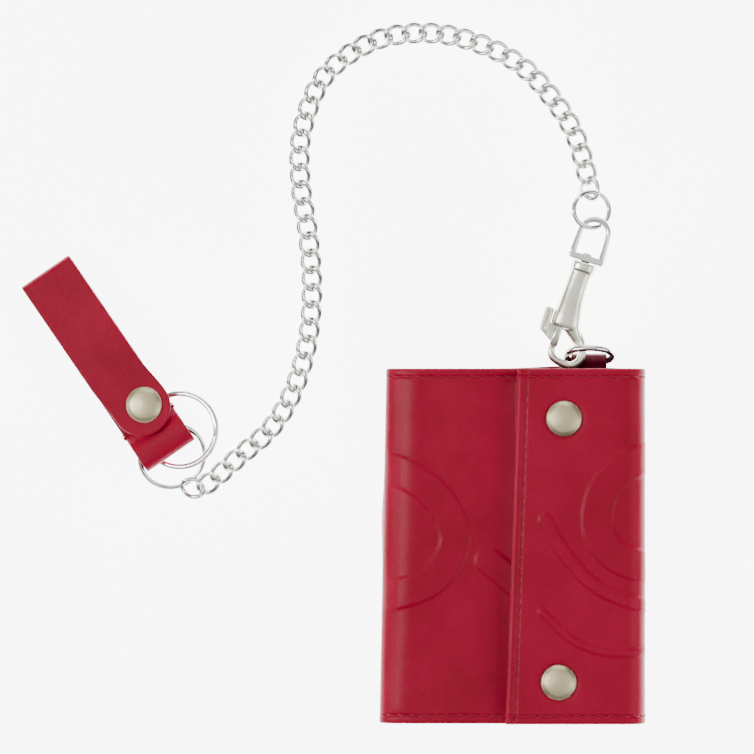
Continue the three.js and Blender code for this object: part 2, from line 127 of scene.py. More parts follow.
# ---------------------------------------------------------------- materials
class Look:
    """A material whose textures follow the object's own coordinates."""

    def __init__(self, name):
        self.material = bpy.data.materials.new(name)
        self.material.use_nodes = True
        self.nodes = self.material.node_tree.nodes
        self.link = self.material.node_tree.links.new
        self.shader = self.nodes["Principled BSDF"]
        self.coords = self.nodes.new("ShaderNodeTexCoord").outputs["Object"]

    def texture(self, kind, **values):
        node = self.nodes.new(kind)
        for socket, value in values.items():
            node.inputs[socket].default_value = value
        self.link(self.coords, node.inputs["Vector"])
        return node

    def noise(self, scale, detail=3.0, roughness=0.5):
        node = self.texture("ShaderNodeTexNoise", Scale=scale, Detail=detail, Roughness=roughness)
        return node.outputs["Fac"]

    def colour(self, pattern, stops, sockets=("Base Color",)):
        ramp = colour_ramp(self.nodes, stops)
        self.link(pattern, ramp.inputs[0])
        for socket in sockets:
            self.link(ramp.outputs[0], self.shader.inputs[socket])

    def gloss(self, pattern, low, high):
        """Roughness runs from low to high with the pattern."""
        span = self.nodes.new("ShaderNodeMapRange")
        span.inputs["To Min"].default_value = low
        span.inputs["To Max"].default_value = high
        self.link(pattern, span.inputs["Value"])
        self.link(span.outputs[0], self.shader.inputs["Roughness"])

    def bumps(self, layers):
        """Layers of (pattern, strength, height in metres), each on top of the one before."""
        below = None
        for pattern, strength, height in layers:
            bump = self.nodes.new("ShaderNodeBump")
            bump.inputs["Strength"].default_value = strength
            bump.inputs["Distance"].default_value = height
            self.link(pattern, bump.inputs["Height"])
            if below:
                self.link(below, bump.inputs["Normal"])
            below = bump.outputs[0]
        self.link(below, self.shader.inputs["Normal"])


def leather(name, dark, mid, light, rough=0.42, grain=0.35, wrinkle=0.25):
    """Smooth-grain leather: soft mottled colour, fine pores, faint creases."""
    look = Look(name)
    look.colour(look.noise(38, 5, 0.6), [(0.25, dark), (0.5, mid), (0.78, light)])
    pores = look.texture("ShaderNodeTexVoronoi", Scale=1500)
    pores.feature = "DISTANCE_TO_EDGE"
    crease = look.noise(160, 6, 0.62)
    look.gloss(crease, rough - 0.07, rough + 0.1)
    look.bumps([(pores.outputs["Distance"], grain, 0.00012), (look.noise(2600, 3, 0.6), grain * 0.8, 0.00006),
                (crease, wrinkle, 0.0006)])
    look.shader.inputs["Specular IOR Level"].default_value = 0.13
    return look.material


def metal(name, colour, rough, brushed=0.0):
    """Plated metal: faint handling marks in the gloss, soft casting waviness."""
    look = Look(name)
    look.colour(look.noise(130, 2, 0.5), [(0.3, [c * 0.9 for c in colour]), (0.7, colour)])
    look.gloss(look.noise(420, 5, 0.65), rough * 0.7, rough * 1.5)
    look.bumps([(look.noise(3000 if brushed else 900, 2, 0.5), 0.12 + brushed, 0.00012)])
    look.shader.inputs["Metallic"].default_value = 1.0
    return look.material


def thread(name, colour):
    """Sewing thread with a fine twist."""
    look = Look(name)
    twist = look.texture("ShaderNodeTexWave", Scale=1400, Distortion=1.5).outputs["Fac"]
    look.colour(twist, [(0.2, [c * 0.6 for c in colour]), (0.8, colour)])
    look.bumps([(twist, 0.6, 0.0001)])
    look.shader.inputs["Roughness"].default_value = 0.7
    return look.material


def paper(name):
    """Plain pale studio paper, very slightly mottled, with a glow that keeps it white."""
    look = Look(name)
    look.colour(look.noise(9, 3, 0.5), [(0.3, (0.87, 0.87, 0.87)), (0.7, (0.9, 0.9, 0.9))],
                ("Base Color", "Emission Color"))
    look.shader.inputs["Emission Strength"].default_value = 8.0
    look.shader.inputs["Roughness"].default_value = 0.85
    look.shader.inputs["Specular IOR Level"].default_value = 0.2
    return look.material


RED = leather("red_leather", (0.21, 0, 0.014), (0.26, 0, 0.020), (0.30, 0, 0.026), 0.36)
# painted shade: a darker copy of the red leather for the D-ring tab, standing in for the shadow of the ring
# and hook on it
SHADED_RED_LEATHER = leather("dark_red_leather", (0.035, 0, 0.004), (0.055, 0, 0.007), (0.075, 0, 0.01), 0.36)
LINING = leather("lining_leather", (0.012, 0.009, 0.010), (0.018, 0.013, 0.015), (0.03, 0.022, 0.024), 0.55,
                 grain=0.6)
SUEDE = leather("leather_flesh_side", (0.07, 0.001, 0.006), (0.11, 0.002, 0.010), (0.15, 0.004, 0.014), 0.75,
                grain=0.8, wrinkle=0.4)
NICKEL = metal("nickel", (0.82, 0.81, 0.78), 0.17)
CAST = metal("cast_nickel", (0.80, 0.79, 0.66), 0.27)
SATIN = metal("satin_nickel", (0.53, 0.455, 0.28), 0.36, brushed=0.25)
# painted shade: a darker copy of the nickel for the thumb latch, standing in for the shade on its angled
# faces
SHADED_LATCH_NICKEL = metal("latch_nickel_painted_shade", (0.68, 0.67, 0.57), 0.22)
STEEL = metal("steel", (0.62, 0.62, 0.63), 0.24)
THREAD = thread("red_thread", (0.34, 0.001, 0.024))
DARK_THREAD = thread("dark_thread", (0.05, 0.035, 0.038))
FLOOR = paper("paper")


# ---------------------------------------------------------------- mesh helpers (millimetres in, metres out)
def finish_mesh(name, vertices, faces, mats, marks):
    """A smooth mesh object; marks gives each face's place in the list of materials."""
    mesh = bpy.data.meshes.new(name)
    mesh.from_pydata([(x * MM, y * MM, z * MM) for x, y, z in vertices], [], faces)
    for mat in mats:
        mesh.materials.append(mat)
    mesh.update()
    for polygon, mark in zip(mesh.polygons, marks):
        polygon.use_smooth = True
        polygon.material_index = mark
    obj = bpy.data.objects.new(name, mesh)
    scene.collection.objects.link(obj)
    return obj


class Bag:
    """Vertices and faces of several shapes that become one mesh."""

    def __init__(self, *shapes):
        self.vertices, self.faces = [], []
        for shape in shapes:
            self.add(shape)

    def add(self, shape):
        vertices, faces = shape
        base = len(self.vertices)
        self.vertices += [tuple(v) for v in vertices]
        self.faces += [tuple(i + base for i in f) for f in faces]

    def make(self, name, mat, slot="nickel"):
        return finish_mesh(name, self.vertices, self.faces, [mat], [0] * len(self.faces))


def rounder(value, power):
    """A sine or cosine raised to a power and keeping its sign: it squares up a circle or an ellipse."""
    return math.copysign(abs(value) ** power, value)


def frames_along(points, closed, up):
    """Each point of a line with its tangent, side and rise vectors."""
    pts = [Vector(p) for p in points]
    n = len(pts)
    result = []
    for i, p in enumerate(pts):
        before = pts[(i - 1) % n] if closed or i else p
        after = pts[(i + 1) % n] if closed or i < n - 1 else p
        tangent = (after - before).normalized()
        side = tangent.cross(Vector(up))
        if side.length < 1e-4:
            side = tangent.cross(Vector((0, 1, 0)))
        side.normalize()
        result.append((p, tangent, side, side.cross(tangent)))
    return result


def tube(points, radius, sides=12, closed=False, up=(0, 0, 1), flat=1.0, dome=True, square=2.0):
    """Vertices and faces of a bar along points; radius is a number or a function of 0..1.

    flat squashes its section, and a square above 2 gives the section flatter faces."""
    size = radius if callable(radius) else (lambda t: radius)
    rings = frames_along(points, closed, up)
    n = len(rings)
    sections = []

    def dome_end(p, tangent, side, rise, r, steps):
        for k in steps:
            sections.append((p + tangent * r * (1 - k) * 0.9, side, rise, r * math.sin(k * math.pi / 2)))

    for i, (p, tangent, side, rise) in enumerate(rings):
        r = size(i / (n - 1 if not closed else n))
        if not closed and dome and i == 0:
            dome_end(p, -tangent, side, rise, r, (0.25, 0.6, 0.88))
        sections.append((p, side, rise, r))
        if not closed and dome and i == n - 1:
            dome_end(p, tangent, side, rise, r, (0.88, 0.6, 0.25))
    vertices, faces = [], []
    for p, side, rise, r in sections:
        for k in range(sides):
            a = 2 * math.pi * k / sides
            c, e = rounder(math.cos(a), 2 / square), rounder(math.sin(a), 2 / square)
            vertices.append(p + side * (r * c) + rise * (r * flat * e))
    count = len(sections)
    for i in range(count if closed else count - 1):
        for k in range(sides):
            a, b = i * sides + k, i * sides + (k + 1) % sides
            c, d = ((i + 1) % count) * sides + (k + 1) % sides, ((i + 1) % count) * sides + k
            faces.append((a, b, c, d))
    if not closed:
        faces.append(tuple(reversed(range(sides))))
        faces.append(tuple(range((count - 1) * sides, count * sides)))
    return [tuple(v) for v in vertices], faces


def lathe(profile, segments=64):
    """Vertices and faces of a profile [(r, z)] turned about Z; starts and ends on the axis."""
    vertices, faces = [], []
    rings = []
    for r, z in profile:
        if r < 1e-6:
            rings.append([len(vertices)])
            vertices.append((0, 0, z))
        else:
            rings.append(list(range(len(vertices), len(vertices) + segments)))
            for k in range(segments):
                a = 2 * math.pi * k / segments
                vertices.append((r * math.cos(a), r * math.sin(a), z))
    for lower, upper in zip(rings, rings[1:]):
        for k in range(segments):
            n = (k + 1) % segments
            if len(lower) == 1:
                faces.append((lower[0], upper[n], upper[k]))
            elif len(upper) == 1:
                faces.append((lower[k], lower[n], upper[0]))
            else:
                faces.append((lower[k], lower[n], upper[n], upper[k]))
    return vertices, faces


def moved(shape, matrix):
    vertices, faces = shape
    return [tuple(matrix @ Vector(v)) for v in vertices], faces


def carried(obj, body, bend):
    """Ties a piece to its body; with bend, bakes its placement into its mesh and leaves it unparented."""
    if bend:
        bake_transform(obj)
    else:
        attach(obj, body)


def curve_point(p0, p1, p2, p3, t):
    """A point between p1 and p2 on the smooth curve through all four."""
    return 0.5 * ((2 * p1) + (p2 - p0) * t + (2 * p0 - 5 * p1 + 4 * p2 - p3) * t * t
                  + (3 * p1 - p0 - 3 * p2 + p3) * t ** 3)


def spline(points, step):
    """Evenly spaced points on a smooth curve through the given ones, and the curve's length."""
    pts = [Vector(p) for p in points]
    pts = [pts[0] * 2 - pts[1]] + pts + [pts[-1] * 2 - pts[-2]]
    dense = []
    for i in range(1, len(pts) - 2):
        dense += [curve_point(*pts[i - 1:i + 3], k / 40) for k in range(40)]
    dense.append(pts[-2])
    lengths = [0.0]
    for a, b in zip(dense, dense[1:]):
        lengths.append(lengths[-1] + (b - a).length)
    total = lengths[-1]
    count = max(2, round(total / step))
    result, j = [], 0
    for i in range(count + 1):
        want = total * i / count
        while j < len(lengths) - 2 and lengths[j + 1] < want:
            j += 1
        span = lengths[j + 1] - lengths[j]
        f = 0 if span == 0 else (want - lengths[j]) / span
        result.append(dense[j].lerp(dense[j + 1], f))
    return result, total


def point_at(points, total, s):
    """The point and tangent a distance s along evenly spaced points."""
    n = len(points) - 1
    x = s / total * n
    i = int(min(max(math.floor(x), 0), n - 1))
    a, b = points[i], points[i + 1]
    return a + (b - a) * (x - i), (b - a).normalized()


# ---------------------------------------------------------------- chain
PIVOTS = {joint["child"]: Vector(joint["pos_m"]) / MM for joint in frame["record"]["behaviour"]["joints"]
          if joint["type"] == "hinge"}
LINK_WIRE = 0.9              # wire radius of a link
LINK_HALF_WIDTH = 2.95
LINK_TWIST = math.radians(43)
LINKS = 49
CHAIN_LIE = 1.85             # height of the chain's middle where it lies flat
CHAIN_BODIES = [f"chain_{i}" for i in range(1, 8)]
route = [
    (25.3, 119.2), (25.15, 121.4), (23.8, 128.1), (20.3, 139.4), (14.0, 149.8), (4.0, 161.0),
    (-9.0, 168.7), (-25.8, 173.2), (-42.7, 172.2), (-56.0, 166.2), (-66.1, 156.2), (-72.0, 139.4),
    (-72.4, 123.0), (-69.6, 103.5), (-68.5, 86.0), (-70.1, 68.4), (-75.0, 52.0), (-82.5, 39.5),
    (-93.0, 30.2), (-101.5, 22.6), (-107.0, 19.2), (-110.6, 20.4),
]


def chain_height(i):
    """The chain comes down from the jump ring over its first five points."""
    drop = max(0.0, 1 - i / 5)
    return CHAIN_LIE + (PIVOTS["jump_ring"].z - CHAIN_LIE) * drop * drop


line, chain_length = spline([(x, y, chain_height(i)) for i, (x, y) in enumerate(route)], 0.5)
pitch = (chain_length + 2 * LINK_WIRE) / LINKS
LINK_HALF = (pitch + 2 * LINK_WIRE) / 2


def distance_along(p):
    """How far along the chain the point nearest to p lies, seen from above."""
    flat = [(q.x - p.x) ** 2 + (q.y - p.y) ** 2 for q in line]
    return chain_length * flat.index(min(flat)) / (len(line) - 1)


def curb_link(centre, tangent):
    """One oval link, with its two ends twisted either way."""
    side = tangent.cross(Vector((0, 0, 1))).normalized()
    rise = side.cross(tangent)
    pts = []
    for k in range(28):
        a = 2 * math.pi * k / 28
        along = LINK_HALF * rounder(math.cos(a), 0.9)
        wide = LINK_HALF_WIDTH * rounder(math.sin(a), 0.9)
        twist = LINK_TWIST * along / LINK_HALF
        across = side * math.cos(twist) + rise * math.sin(twist)
        pts.append(centre + tangent * along + across * wide)
    return tube(pts, LINK_WIRE, 12, closed=True, square=2.5)


section_starts = [distance_along(PIVOTS[body]) for body in CHAIN_BODIES]
sections = [Bag() for _ in CHAIN_BODIES]
section_span = [[] for _ in CHAIN_BODIES]
for i in range(LINKS):
    s = LINK_HALF - 2 * LINK_WIRE + i * pitch
    centre, tangent = point_at(line, chain_length, min(max(s, 0), chain_length))
    if s > chain_length:
        centre = centre + tangent * (s - chain_length)
    k = max(j for j, start in enumerate(section_starts) if j == 0 or s >= start)
    sections[k].add(curb_link(centre, tangent))
    section_span[k].append(s)
for k, bag in enumerate(sections):
    obj = bag.make(f"curb_chain_{k + 1}", NICKEL)
    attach(obj, CHAIN_BODIES[k])
    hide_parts(f"chain_section_{k + 1}")
    a = max(0.0, section_span[k][0] - LINK_HALF)


# ---------------------------------------------------------------- wallet leather
def cad(node):
    """Lowest and highest corner of a CAD piece, in millimetres."""
    low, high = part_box(node)
    return [v / MM for v in low], [v / MM for v in high]


BACK_LOW, BACK_HIGH = cad("back_outer")
FRONT_LOW, FRONT_HIGH = cad("front_outer")
FLAP_LOW, FLAP_HIGH = cad("flap_outer")
TONGUE_HIGH = cad("front_tongue")[1]
TOP = BACK_HIGH[1]
SHELL = BACK_HIGH[2] - BACK_LOW[2]
BACK_MID = (BACK_LOW[2] + BACK_HIGH[2]) / 2
FRONT_MID = (FRONT_LOW[2] + FRONT_HIGH[2]) / 2
FLAP_MID = (FLAP_LOW[2] + FLAP_HIGH[2]) / 2
FOLD_X = BACK_HIGH[0] - SHELL / 2
LEFT_IN, RIGHT_IN = -27.0, 35.0        # where the flat panels start to turn into the folds
FLAP_EDGE = (-1.25, 0.0342)            # free edge of the flap: x at the middle, and its lean
SEAM = 2.8                             # stitching to the edge
FLAP_SEAM = 3.3
CAPS = [tuple((a + b) / 2 for a, b in zip(*cad(f"snap_{i}_cap")))[:2] for i in (1, 2)]
CAP_R = (cad("snap_1_cap")[1][0] - cad("snap_1_cap")[0][0]) / 2


def flap_edge(y):
    return FLAP_EDGE[0] + FLAP_EDGE[1] * y


def edge_rows(span, step, seam=SEAM):
    """Distances across a span: close together at each edge and at its seam, then an even step."""
    near = [0, 0.06, 0.2, 0.42, 0.72, 1.1, 1.5] + [seam + k * 0.22 for k in (-4, -3, -2, -1, 0, 1, 2, 3, 4)]
    near += [seam + 1.4, seam + 2.1]
    count = round((span - 2 * near[-1]) / step)
    middle = [near[-1] + (span - 2 * near[-1]) * k / count for k in range(1, count)]
    return near + middle + [span - d for d in reversed(near)]


def turned(d, reach=0.75, least=0.1):
    """How much of its thickness leather keeps at a distance d from a turned edge."""
    t = np.clip(np.asarray(d, float) / reach, 0, 1)
    return least + (1 - least) * np.sqrt(1 - (1 - t) ** 2)


def seam_groove(d, seam=SEAM):
    """Leather sinks along a seam and swells a little between the seam and the edge."""
    d = np.asarray(d, float)
    return -0.26 * np.exp(-((d - seam) / 0.42) ** 2) + 0.1 * np.exp(-((d - seam * 0.45) / 0.9) ** 2)


def edge_fade(d):
    """Pressed relief dies out towards the seam and the edge."""
    return np.clip((d - 1.2) / 3.5, 0, 1)


def near_line(x, y, points):
    """Distance from every x, y to a line of points."""
    best = np.full(x.shape, 1e9)
    for a, b in zip(points, points[1:]):
        ab = np.array([b[0] - a[0], b[1] - a[1]])
        t = np.clip(((x - a[0]) * ab[0] + (y - a[1]) * ab[1]) / (ab @ ab), 0, 1)
        best = np.minimum(best, np.hypot(x - a[0] - t * ab[0], y - a[1] - t * ab[1]))
    return best


def ribbon(x, y, knots, half_width, height, bevel=0.5):
    """A pressed ribbon: a plateau with soft sides that follows a smooth line."""
    line_2d = [(p.x, p.y) for p in spline([(a, b, 0) for a, b in knots], 1.5)[0]]
    t = np.clip((half_width - near_line(x, y, line_2d)) / bevel, 0, 1)
    return height * t * t * (3 - 2 * t)


def front_relief(x, y):
    """Raised wave pattern, soft dents and the pull of the flap on the front panel."""
    rise = ribbon(x, y, [(-60, 26), (-47, 27), (-36, 24), (-25, 15), (-20, 2), (-26, -10), (-38, -16),
                         (-56, -17)], 5.2, 0.5)
    rise = np.maximum(rise, ribbon(x, y, [(-9, -5), (-4, -9), (4, -16)], 4.6, 0.5))
    rise = rise - 0.8 * np.exp(-((x + 3.2) / 6) ** 2)
    ridge = -34.5 + 0.025 * (y - TOP)
    rise += 0.55 * np.exp(-((x - ridge) / 4.2) ** 2)
    rise += 0.16 * np.sin(x * 0.16 + 0.6) * np.cos(y * 0.055 + 0.4) + 0.1 * np.sin(y * 0.11 + x * 0.07)
    return rise


def flap_relief(x, y):
    """Raised wave pattern, and the leather pressed down around each snap cap."""
    rise = ribbon(x, y, [(60, 30), (47, 30), (36, 26), (29, 17), (28, 5), (35, -4), (50, -8), (62, -8)],
                  5.4, 0.5)
    rise = np.maximum(rise, ribbon(x, y, [(10, 9), (17, -3), (28, -14), (44, -20), (60, -21)], 2.4, 0.5))
    rise = np.maximum(rise, ribbon(x, y, [(9, -22), (20, -32), (34, -36), (50, -34), (60, -30)], 1.5, 0.42))
    for cx, cy in CAPS:
        r = np.hypot(x - cx, y - cy)
        rise -= 0.34 * np.exp(-(np.maximum(r - CAP_R + 0.8, 0) / 1.5) ** 2)
    rise += 0.14 * np.sin(x * 0.13 + 1.1) * np.cos(y * 0.05) + 0.07 * np.sin(y * 0.13 - x * 0.05)
    return rise


def leather_sheet(name, centre, normal, keep, lift, mats=(RED, SUEDE), body=None,
                  bend=None, free_start=False, free_end=False):
    """A closed leather sheet from grids of points, normals, thickness share and outward lift.

    Grids run along the sheet first and across it second. free_start and free_end close the sheet at the
    first and last station; where they are open another sheet carries on. A second material goes on the
    inner face."""
    stations, across = keep.shape
    half = (SHELL / 2 * keep)[..., None]
    outer = centre + normal * (half + lift[..., None])
    inner = centre - normal * half
    vertices = np.concatenate([outer.reshape(-1, 3), inner.reshape(-1, 3)])
    base = stations * across
    faces, marks = [], []

    def at(i, j):
        return i * across + j

    for i in range(stations - 1):
        for j in range(across - 1):
            faces.append((at(i, j), at(i + 1, j), at(i + 1, j + 1), at(i, j + 1)))
            faces.append((base + at(i, j), base + at(i, j + 1), base + at(i + 1, j + 1), base + at(i + 1, j)))
            marks += [0, len(mats) - 1]
    for i in range(stations - 1):
        for j, flip in ((0, False), (across - 1, True)):
            f = (at(i, j), base + at(i, j), base + at(i + 1, j), at(i + 1, j))
            faces.append(tuple(reversed(f)) if flip else f)
            marks.append(0)
    for wanted, i, flip in ((free_start, 0, True), (free_end, stations - 1, False)):
        if wanted:
            for j in range(across - 1):
                f = (at(i, j), base + at(i, j), base + at(i, j + 1), at(i, j + 1))
                faces.append(tuple(reversed(f)) if flip else f)
                marks.append(0)
    obj = finish_mesh(name, vertices.tolist(), faces, mats, marks)
    tidy = bmesh.new()
    tidy.from_mesh(obj.data)
    bmesh.ops.recalc_face_normals(tidy, faces=tidy.faces)
    tidy.to_mesh(obj.data)
    tidy.free()
    carried(obj, body, bend)
    return obj


def flat_normals(shape, up):
    n = np.zeros(shape + (3,))
    n[..., 2] = up
    return n


def fold_stations(side, x_in, z_low, z_high, squareness, count):
    """Centre line of a fold in X and Z, from the back panel up to the upper panel."""
    a, b, middle = FOLD_X - abs(x_in), (z_high - z_low) / 2, (z_high + z_low) / 2
    points = []
    for k in range(count + 1):
        angle = -math.pi / 2 + math.pi * k / count
        x = a * abs(math.cos(angle)) ** (2 / squareness)
        z = b * rounder(math.sin(angle), 2 / squareness)
        points.append((side * (abs(x_in) + x), middle + z))
    even = spline([(x, 0, z) for x, z in points], 0.55)[0]
    return [(p.x, p.z) for p in even]


ROWS = np.array(edge_rows(2 * TOP, 0.55)) - TOP
EDGE_DISTANCE = TOP - np.abs(ROWS)


def left_drift(x, y):
    """The left side leans out a little towards the bottom."""
    w = np.clip((-x - 12) / 30, 0, 1)
    return w * (0.6 + 0.019 * (y - TOP))


def along_from_end(pts):
    """Distance from each station to the last one, measured along the line."""
    steps = np.linalg.norm(np.diff(pts, axis=0), axis=1)
    return np.concatenate([np.cumsum(steps[::-1])[::-1], [0]])


def tangents(pts):
    """Unit tangents of a line of points."""
    tangent = np.gradient(pts, axis=0)
    return tangent / np.linalg.norm(tangent, axis=1)[:, None]


def fold_sheet(name, stations, side, bend, bulge=None, relief=None, x_end=0.0):
    """One half of a fold: stations are its centre line, which curves between the two bodies it joins.

    relief carries on from the panel that starts at x_end."""
    pts = np.array(stations)
    tangent = tangents(pts)
    outward = np.stack([tangent[:, 1], -tangent[:, 0]], axis=1)
    if side < 0:
        outward = -outward
    count, across = len(pts), len(ROWS)
    centre = np.zeros((count, across, 3))
    centre[..., 0] = pts[:, 0][:, None]
    centre[..., 1] = ROWS[None, :]
    centre[..., 2] = pts[:, 1][:, None]
    if side < 0:
        centre[..., 0] += left_drift(centre[..., 0], centre[..., 1])
    if bulge is not None:
        centre[..., 0] += side * bulge(centre[..., 1], centre[..., 2])
    normal = np.zeros_like(centre)
    normal[..., 0] = outward[:, 0][:, None]
    normal[..., 2] = outward[:, 1][:, None]
    keep = np.broadcast_to(turned(EDGE_DISTANCE), (count, across)).copy()
    lift = np.broadcast_to(seam_groove(EDGE_DISTANCE), (count, across)).copy()
    if relief is not None:
        reach = along_from_end(pts)
        x_flat = np.broadcast_to((x_end + side * reach)[:, None], lift.shape)
        fade_out = np.clip((reach[0] - reach - 1) / 6, 0, 1)
        fade = fade_out[:, None] * edge_fade(EDGE_DISTANCE)[None, :]
        lift += relief(x_flat, np.broadcast_to(ROWS, lift.shape)) * fade
    return leather_sheet(name, centre, normal, keep, lift, bend=bend)


def at_mm(x, z):
    """A point on the middle line of the wallet, given in millimetres."""
    return (x * MM, 0, z * MM)


left_line = fold_stations(-1, LEFT_IN, BACK_MID, FRONT_MID, 2.3, 90)
right_line = fold_stations(1, RIGHT_IN, BACK_MID, FLAP_MID, 3.0, 80)
left_mid, right_mid = len(left_line) // 2, len(right_line) // 2
LEFT_LOW_BEND = ("wallet_back", "left_fold", at_mm(-FOLD_X + 2.5, 1.2), at_mm(-FOLD_X, 5.3))
LEFT_HIGH_BEND = ("left_fold", "front", at_mm(-FOLD_X, 6.9), at_mm(-FOLD_X + 2.5, 11.0))
RIGHT_LOW_BEND = ("wallet_back", "right_fold", at_mm(FOLD_X - 2.5, 1.2), at_mm(FOLD_X, 5.8))
RIGHT_HIGH_BEND = ("right_fold", "flap", at_mm(FOLD_X, 12.0), at_mm(FOLD_X - 2.5, 16.6))


def back_bulge(y, z):
    """The back leather stands out past the front panel along part of the left fold."""
    height = np.clip((z - BACK_MID) / 2, 0, 1) * np.clip((6.1 - z) / 2.2, 0, 1)
    return 1.5 * height * np.exp(-((y - 9) / 14) ** 2)


left_fold_low = fold_sheet("left_fold_low", left_line[:left_mid + 1], -1, LEFT_LOW_BEND, back_bulge)
left_fold_high = fold_sheet("left_fold_high", left_line[left_mid:], -1, LEFT_HIGH_BEND,
                            relief=front_relief, x_end=LEFT_IN)
right_fold_low = fold_sheet("right_fold_low", right_line[:right_mid + 1], 1, RIGHT_LOW_BEND)
right_fold_high = fold_sheet("right_fold_high", right_line[right_mid:], 1, RIGHT_HIGH_BEND,
                             relief=flap_relief, x_end=RIGHT_IN)


def panel(name, columns, z, up, relief, body, edge_of=None, free=None, drift=None, top_extra=None,
          thin=None):
    """A flat panel: columns(y) gives the x of every station; relief lifts its outer face.

    edge_of(y) is the x of its sewn edge, drift and top_extra shift it in x and y, and thin pares it down."""
    grid_x = np.array([columns(y) for y in ROWS]).T
    grid_y = np.broadcast_to(ROWS, grid_x.shape).copy()
    distance = np.broadcast_to(EDGE_DISTANCE, grid_x.shape)
    centre = np.stack([grid_x, grid_y, np.full(grid_x.shape, z)], axis=-1)
    keep = turned(distance)
    lift = seam_groove(distance)
    if edge_of is not None:
        side = np.abs(grid_x - np.array([edge_of(y) for y in ROWS])[None, :])
        keep = np.minimum(keep, turned(side, 0.9))
        lift = lift + seam_groove(side, FLAP_SEAM) + 0.22 * np.exp(-((side - 1.4) / 1.2) ** 2)
    if relief is not None:
        lift = lift + relief(grid_x, grid_y) * edge_fade(distance)
    if drift is not None:
        centre[..., 0] += drift(grid_x, grid_y)
    if top_extra is not None:
        centre[..., 1] += top_extra(grid_x, grid_y)
    if thin is not None:
        keep = keep * thin(grid_x)
    return leather_sheet(name, centre, flat_normals(grid_x.shape, up), keep, lift, body=body,
                         free_start=free == "start", free_end=free == "end")


def even_columns(x0, x1, step):
    count = round(abs(x1 - x0) / step)
    return lambda y: [x0 + (x1 - x0) * k / count for k in range(count + 1)]


def back_lip(x, y):
    """The back stands a little above the flap at the top edge."""
    return 0.8 * np.exp(-((x - 17) / 13) ** 2) * np.clip((y - 45) / 14.9, 0, 1)


back_panel = panel("back_panel", even_columns(LEFT_IN, RIGHT_IN, 1.4), BACK_MID, -1, None, "wallet_back",
                   drift=left_drift, top_extra=back_lip)
front_panel = panel("front_panel", even_columns(LEFT_IN, FRONT_HIGH[0], 0.5), FRONT_MID, 1, front_relief,
                    "front", drift=left_drift)
TONGUE_X = TONGUE_HIGH[0]


def tongue_columns(y):
    near = [0, 0.06, 0.2, 0.42, 0.72, 1.1, 1.5]
    body = [FRONT_HIGH[0] + (TONGUE_X - 2 - FRONT_HIGH[0]) * k / 16 for k in range(17)]
    return body + [TONGUE_X - d for d in reversed(near)]


def tongue_relief(x, y):
    return front_relief(x, y) * np.clip(1 - x / 4, 0, 1)


front_end = panel("front_end", tongue_columns, FRONT_MID, 1, tongue_relief, "front",
                  edge_of=lambda y: TONGUE_X, free="end", thin=lambda x: 1 - 0.13 * np.clip(x / 3, 0, 1))


def flap_columns(y):
    x0 = flap_edge(y)
    near = edge_rows(40, 0.5, FLAP_SEAM)[:18]
    start = x0 + near[-1]
    return [x0 + d for d in near] + [start + (RIGHT_IN - start) * k / 64 for k in range(1, 65)]


flap_panel = panel("flap_panel", flap_columns, FLAP_MID, 1, flap_relief, "flap", edge_of=flap_edge,
                   free="start")

# ---------------------------------------------------------------- stitching
STITCH_PITCH, STITCH_LONG, STITCH_SLANT, THREAD_R = 3.8, 3.0, 0.32, 0.24
# how high a stitch's thread stands on the leather, at shares of the way from one hole to the other
STITCH_SHAPE = ((-0.5, -0.42), (-0.43, -0.02), (-0.22, 0.16), (0, 0.2), (0.22, 0.16), (0.43, -0.02),
                (0.5, -0.42))


def skin(obj):
    """The surface of a finished piece, in millimetres, for laying stitches on."""
    return BVHTree.FromPolygons([v.co / MM for v in obj.data.vertices],
                                [tuple(p.vertices) for p in obj.data.polygons])


def sew(name, obj, line, body=None, bend=None, pitch=STITCH_PITCH, mat=THREAD, slot="red_leather"):
    """A row of slanted stitches along a line of (point, outward normal) pairs."""
    tree = skin(obj)
    points = [Vector(p) for p, _ in line]
    normals = [Vector(n) for _, n in line]
    lengths = [0.0]
    for a, b in zip(points, points[1:]):
        lengths.append(lengths[-1] + (b - a).length)
    total = lengths[-1]
    count = max(1, round(total / pitch))
    bag = Bag()

    def sample(s):
        j = max(k for k in range(len(lengths) - 1) if lengths[k] <= max(s, 0) or k == 0)
        f = min(1.0, max(0.0, (s - lengths[j]) / max(1e-9, lengths[j + 1] - lengths[j])))
        normal = normals[j].lerp(normals[j + 1], f).normalized()
        return points[j].lerp(points[j + 1], f), normal, (points[j + 1] - points[j]).normalized()

    for i in range(count):
        middle = total * (i + 0.5) / count
        long_by = STITCH_LONG * (total / count) / pitch
        knots = []
        for f, rise in STITCH_SHAPE:
            p, n, t = sample(middle + f * long_by)
            p = p + t.cross(n) * (2 * STITCH_SLANT * f)
            hit = tree.ray_cast(p + n * 4, -n, 8)[0]
            knots.append((hit if hit is not None else p) + n * rise)
        bag.add(tube(knots, THREAD_R, 8, up=normals[0]))
    carried(bag.make(name, mat, slot), body, bend)


def seam_along(stations, side, y):
    """The line of a seam round a fold, with its outward normals."""
    pts = np.array(stations)
    drift = left_drift(pts[:, 0], y) if side < 0 else 0 * pts[:, 0]
    out = []
    for (x, z), (tx, tz), dx in zip(pts, tangents(pts), drift):
        n = (tz * side, 0, -tx * side)
        out.append(((x + dx + n[0], y, z + n[2]), n))
    return out


def straight(a, b, n, step=1.0):
    count = max(2, round((Vector(b) - Vector(a)).length / step))
    return [(tuple(Vector(a).lerp(Vector(b), k / count)), n) for k in range(count + 1)]


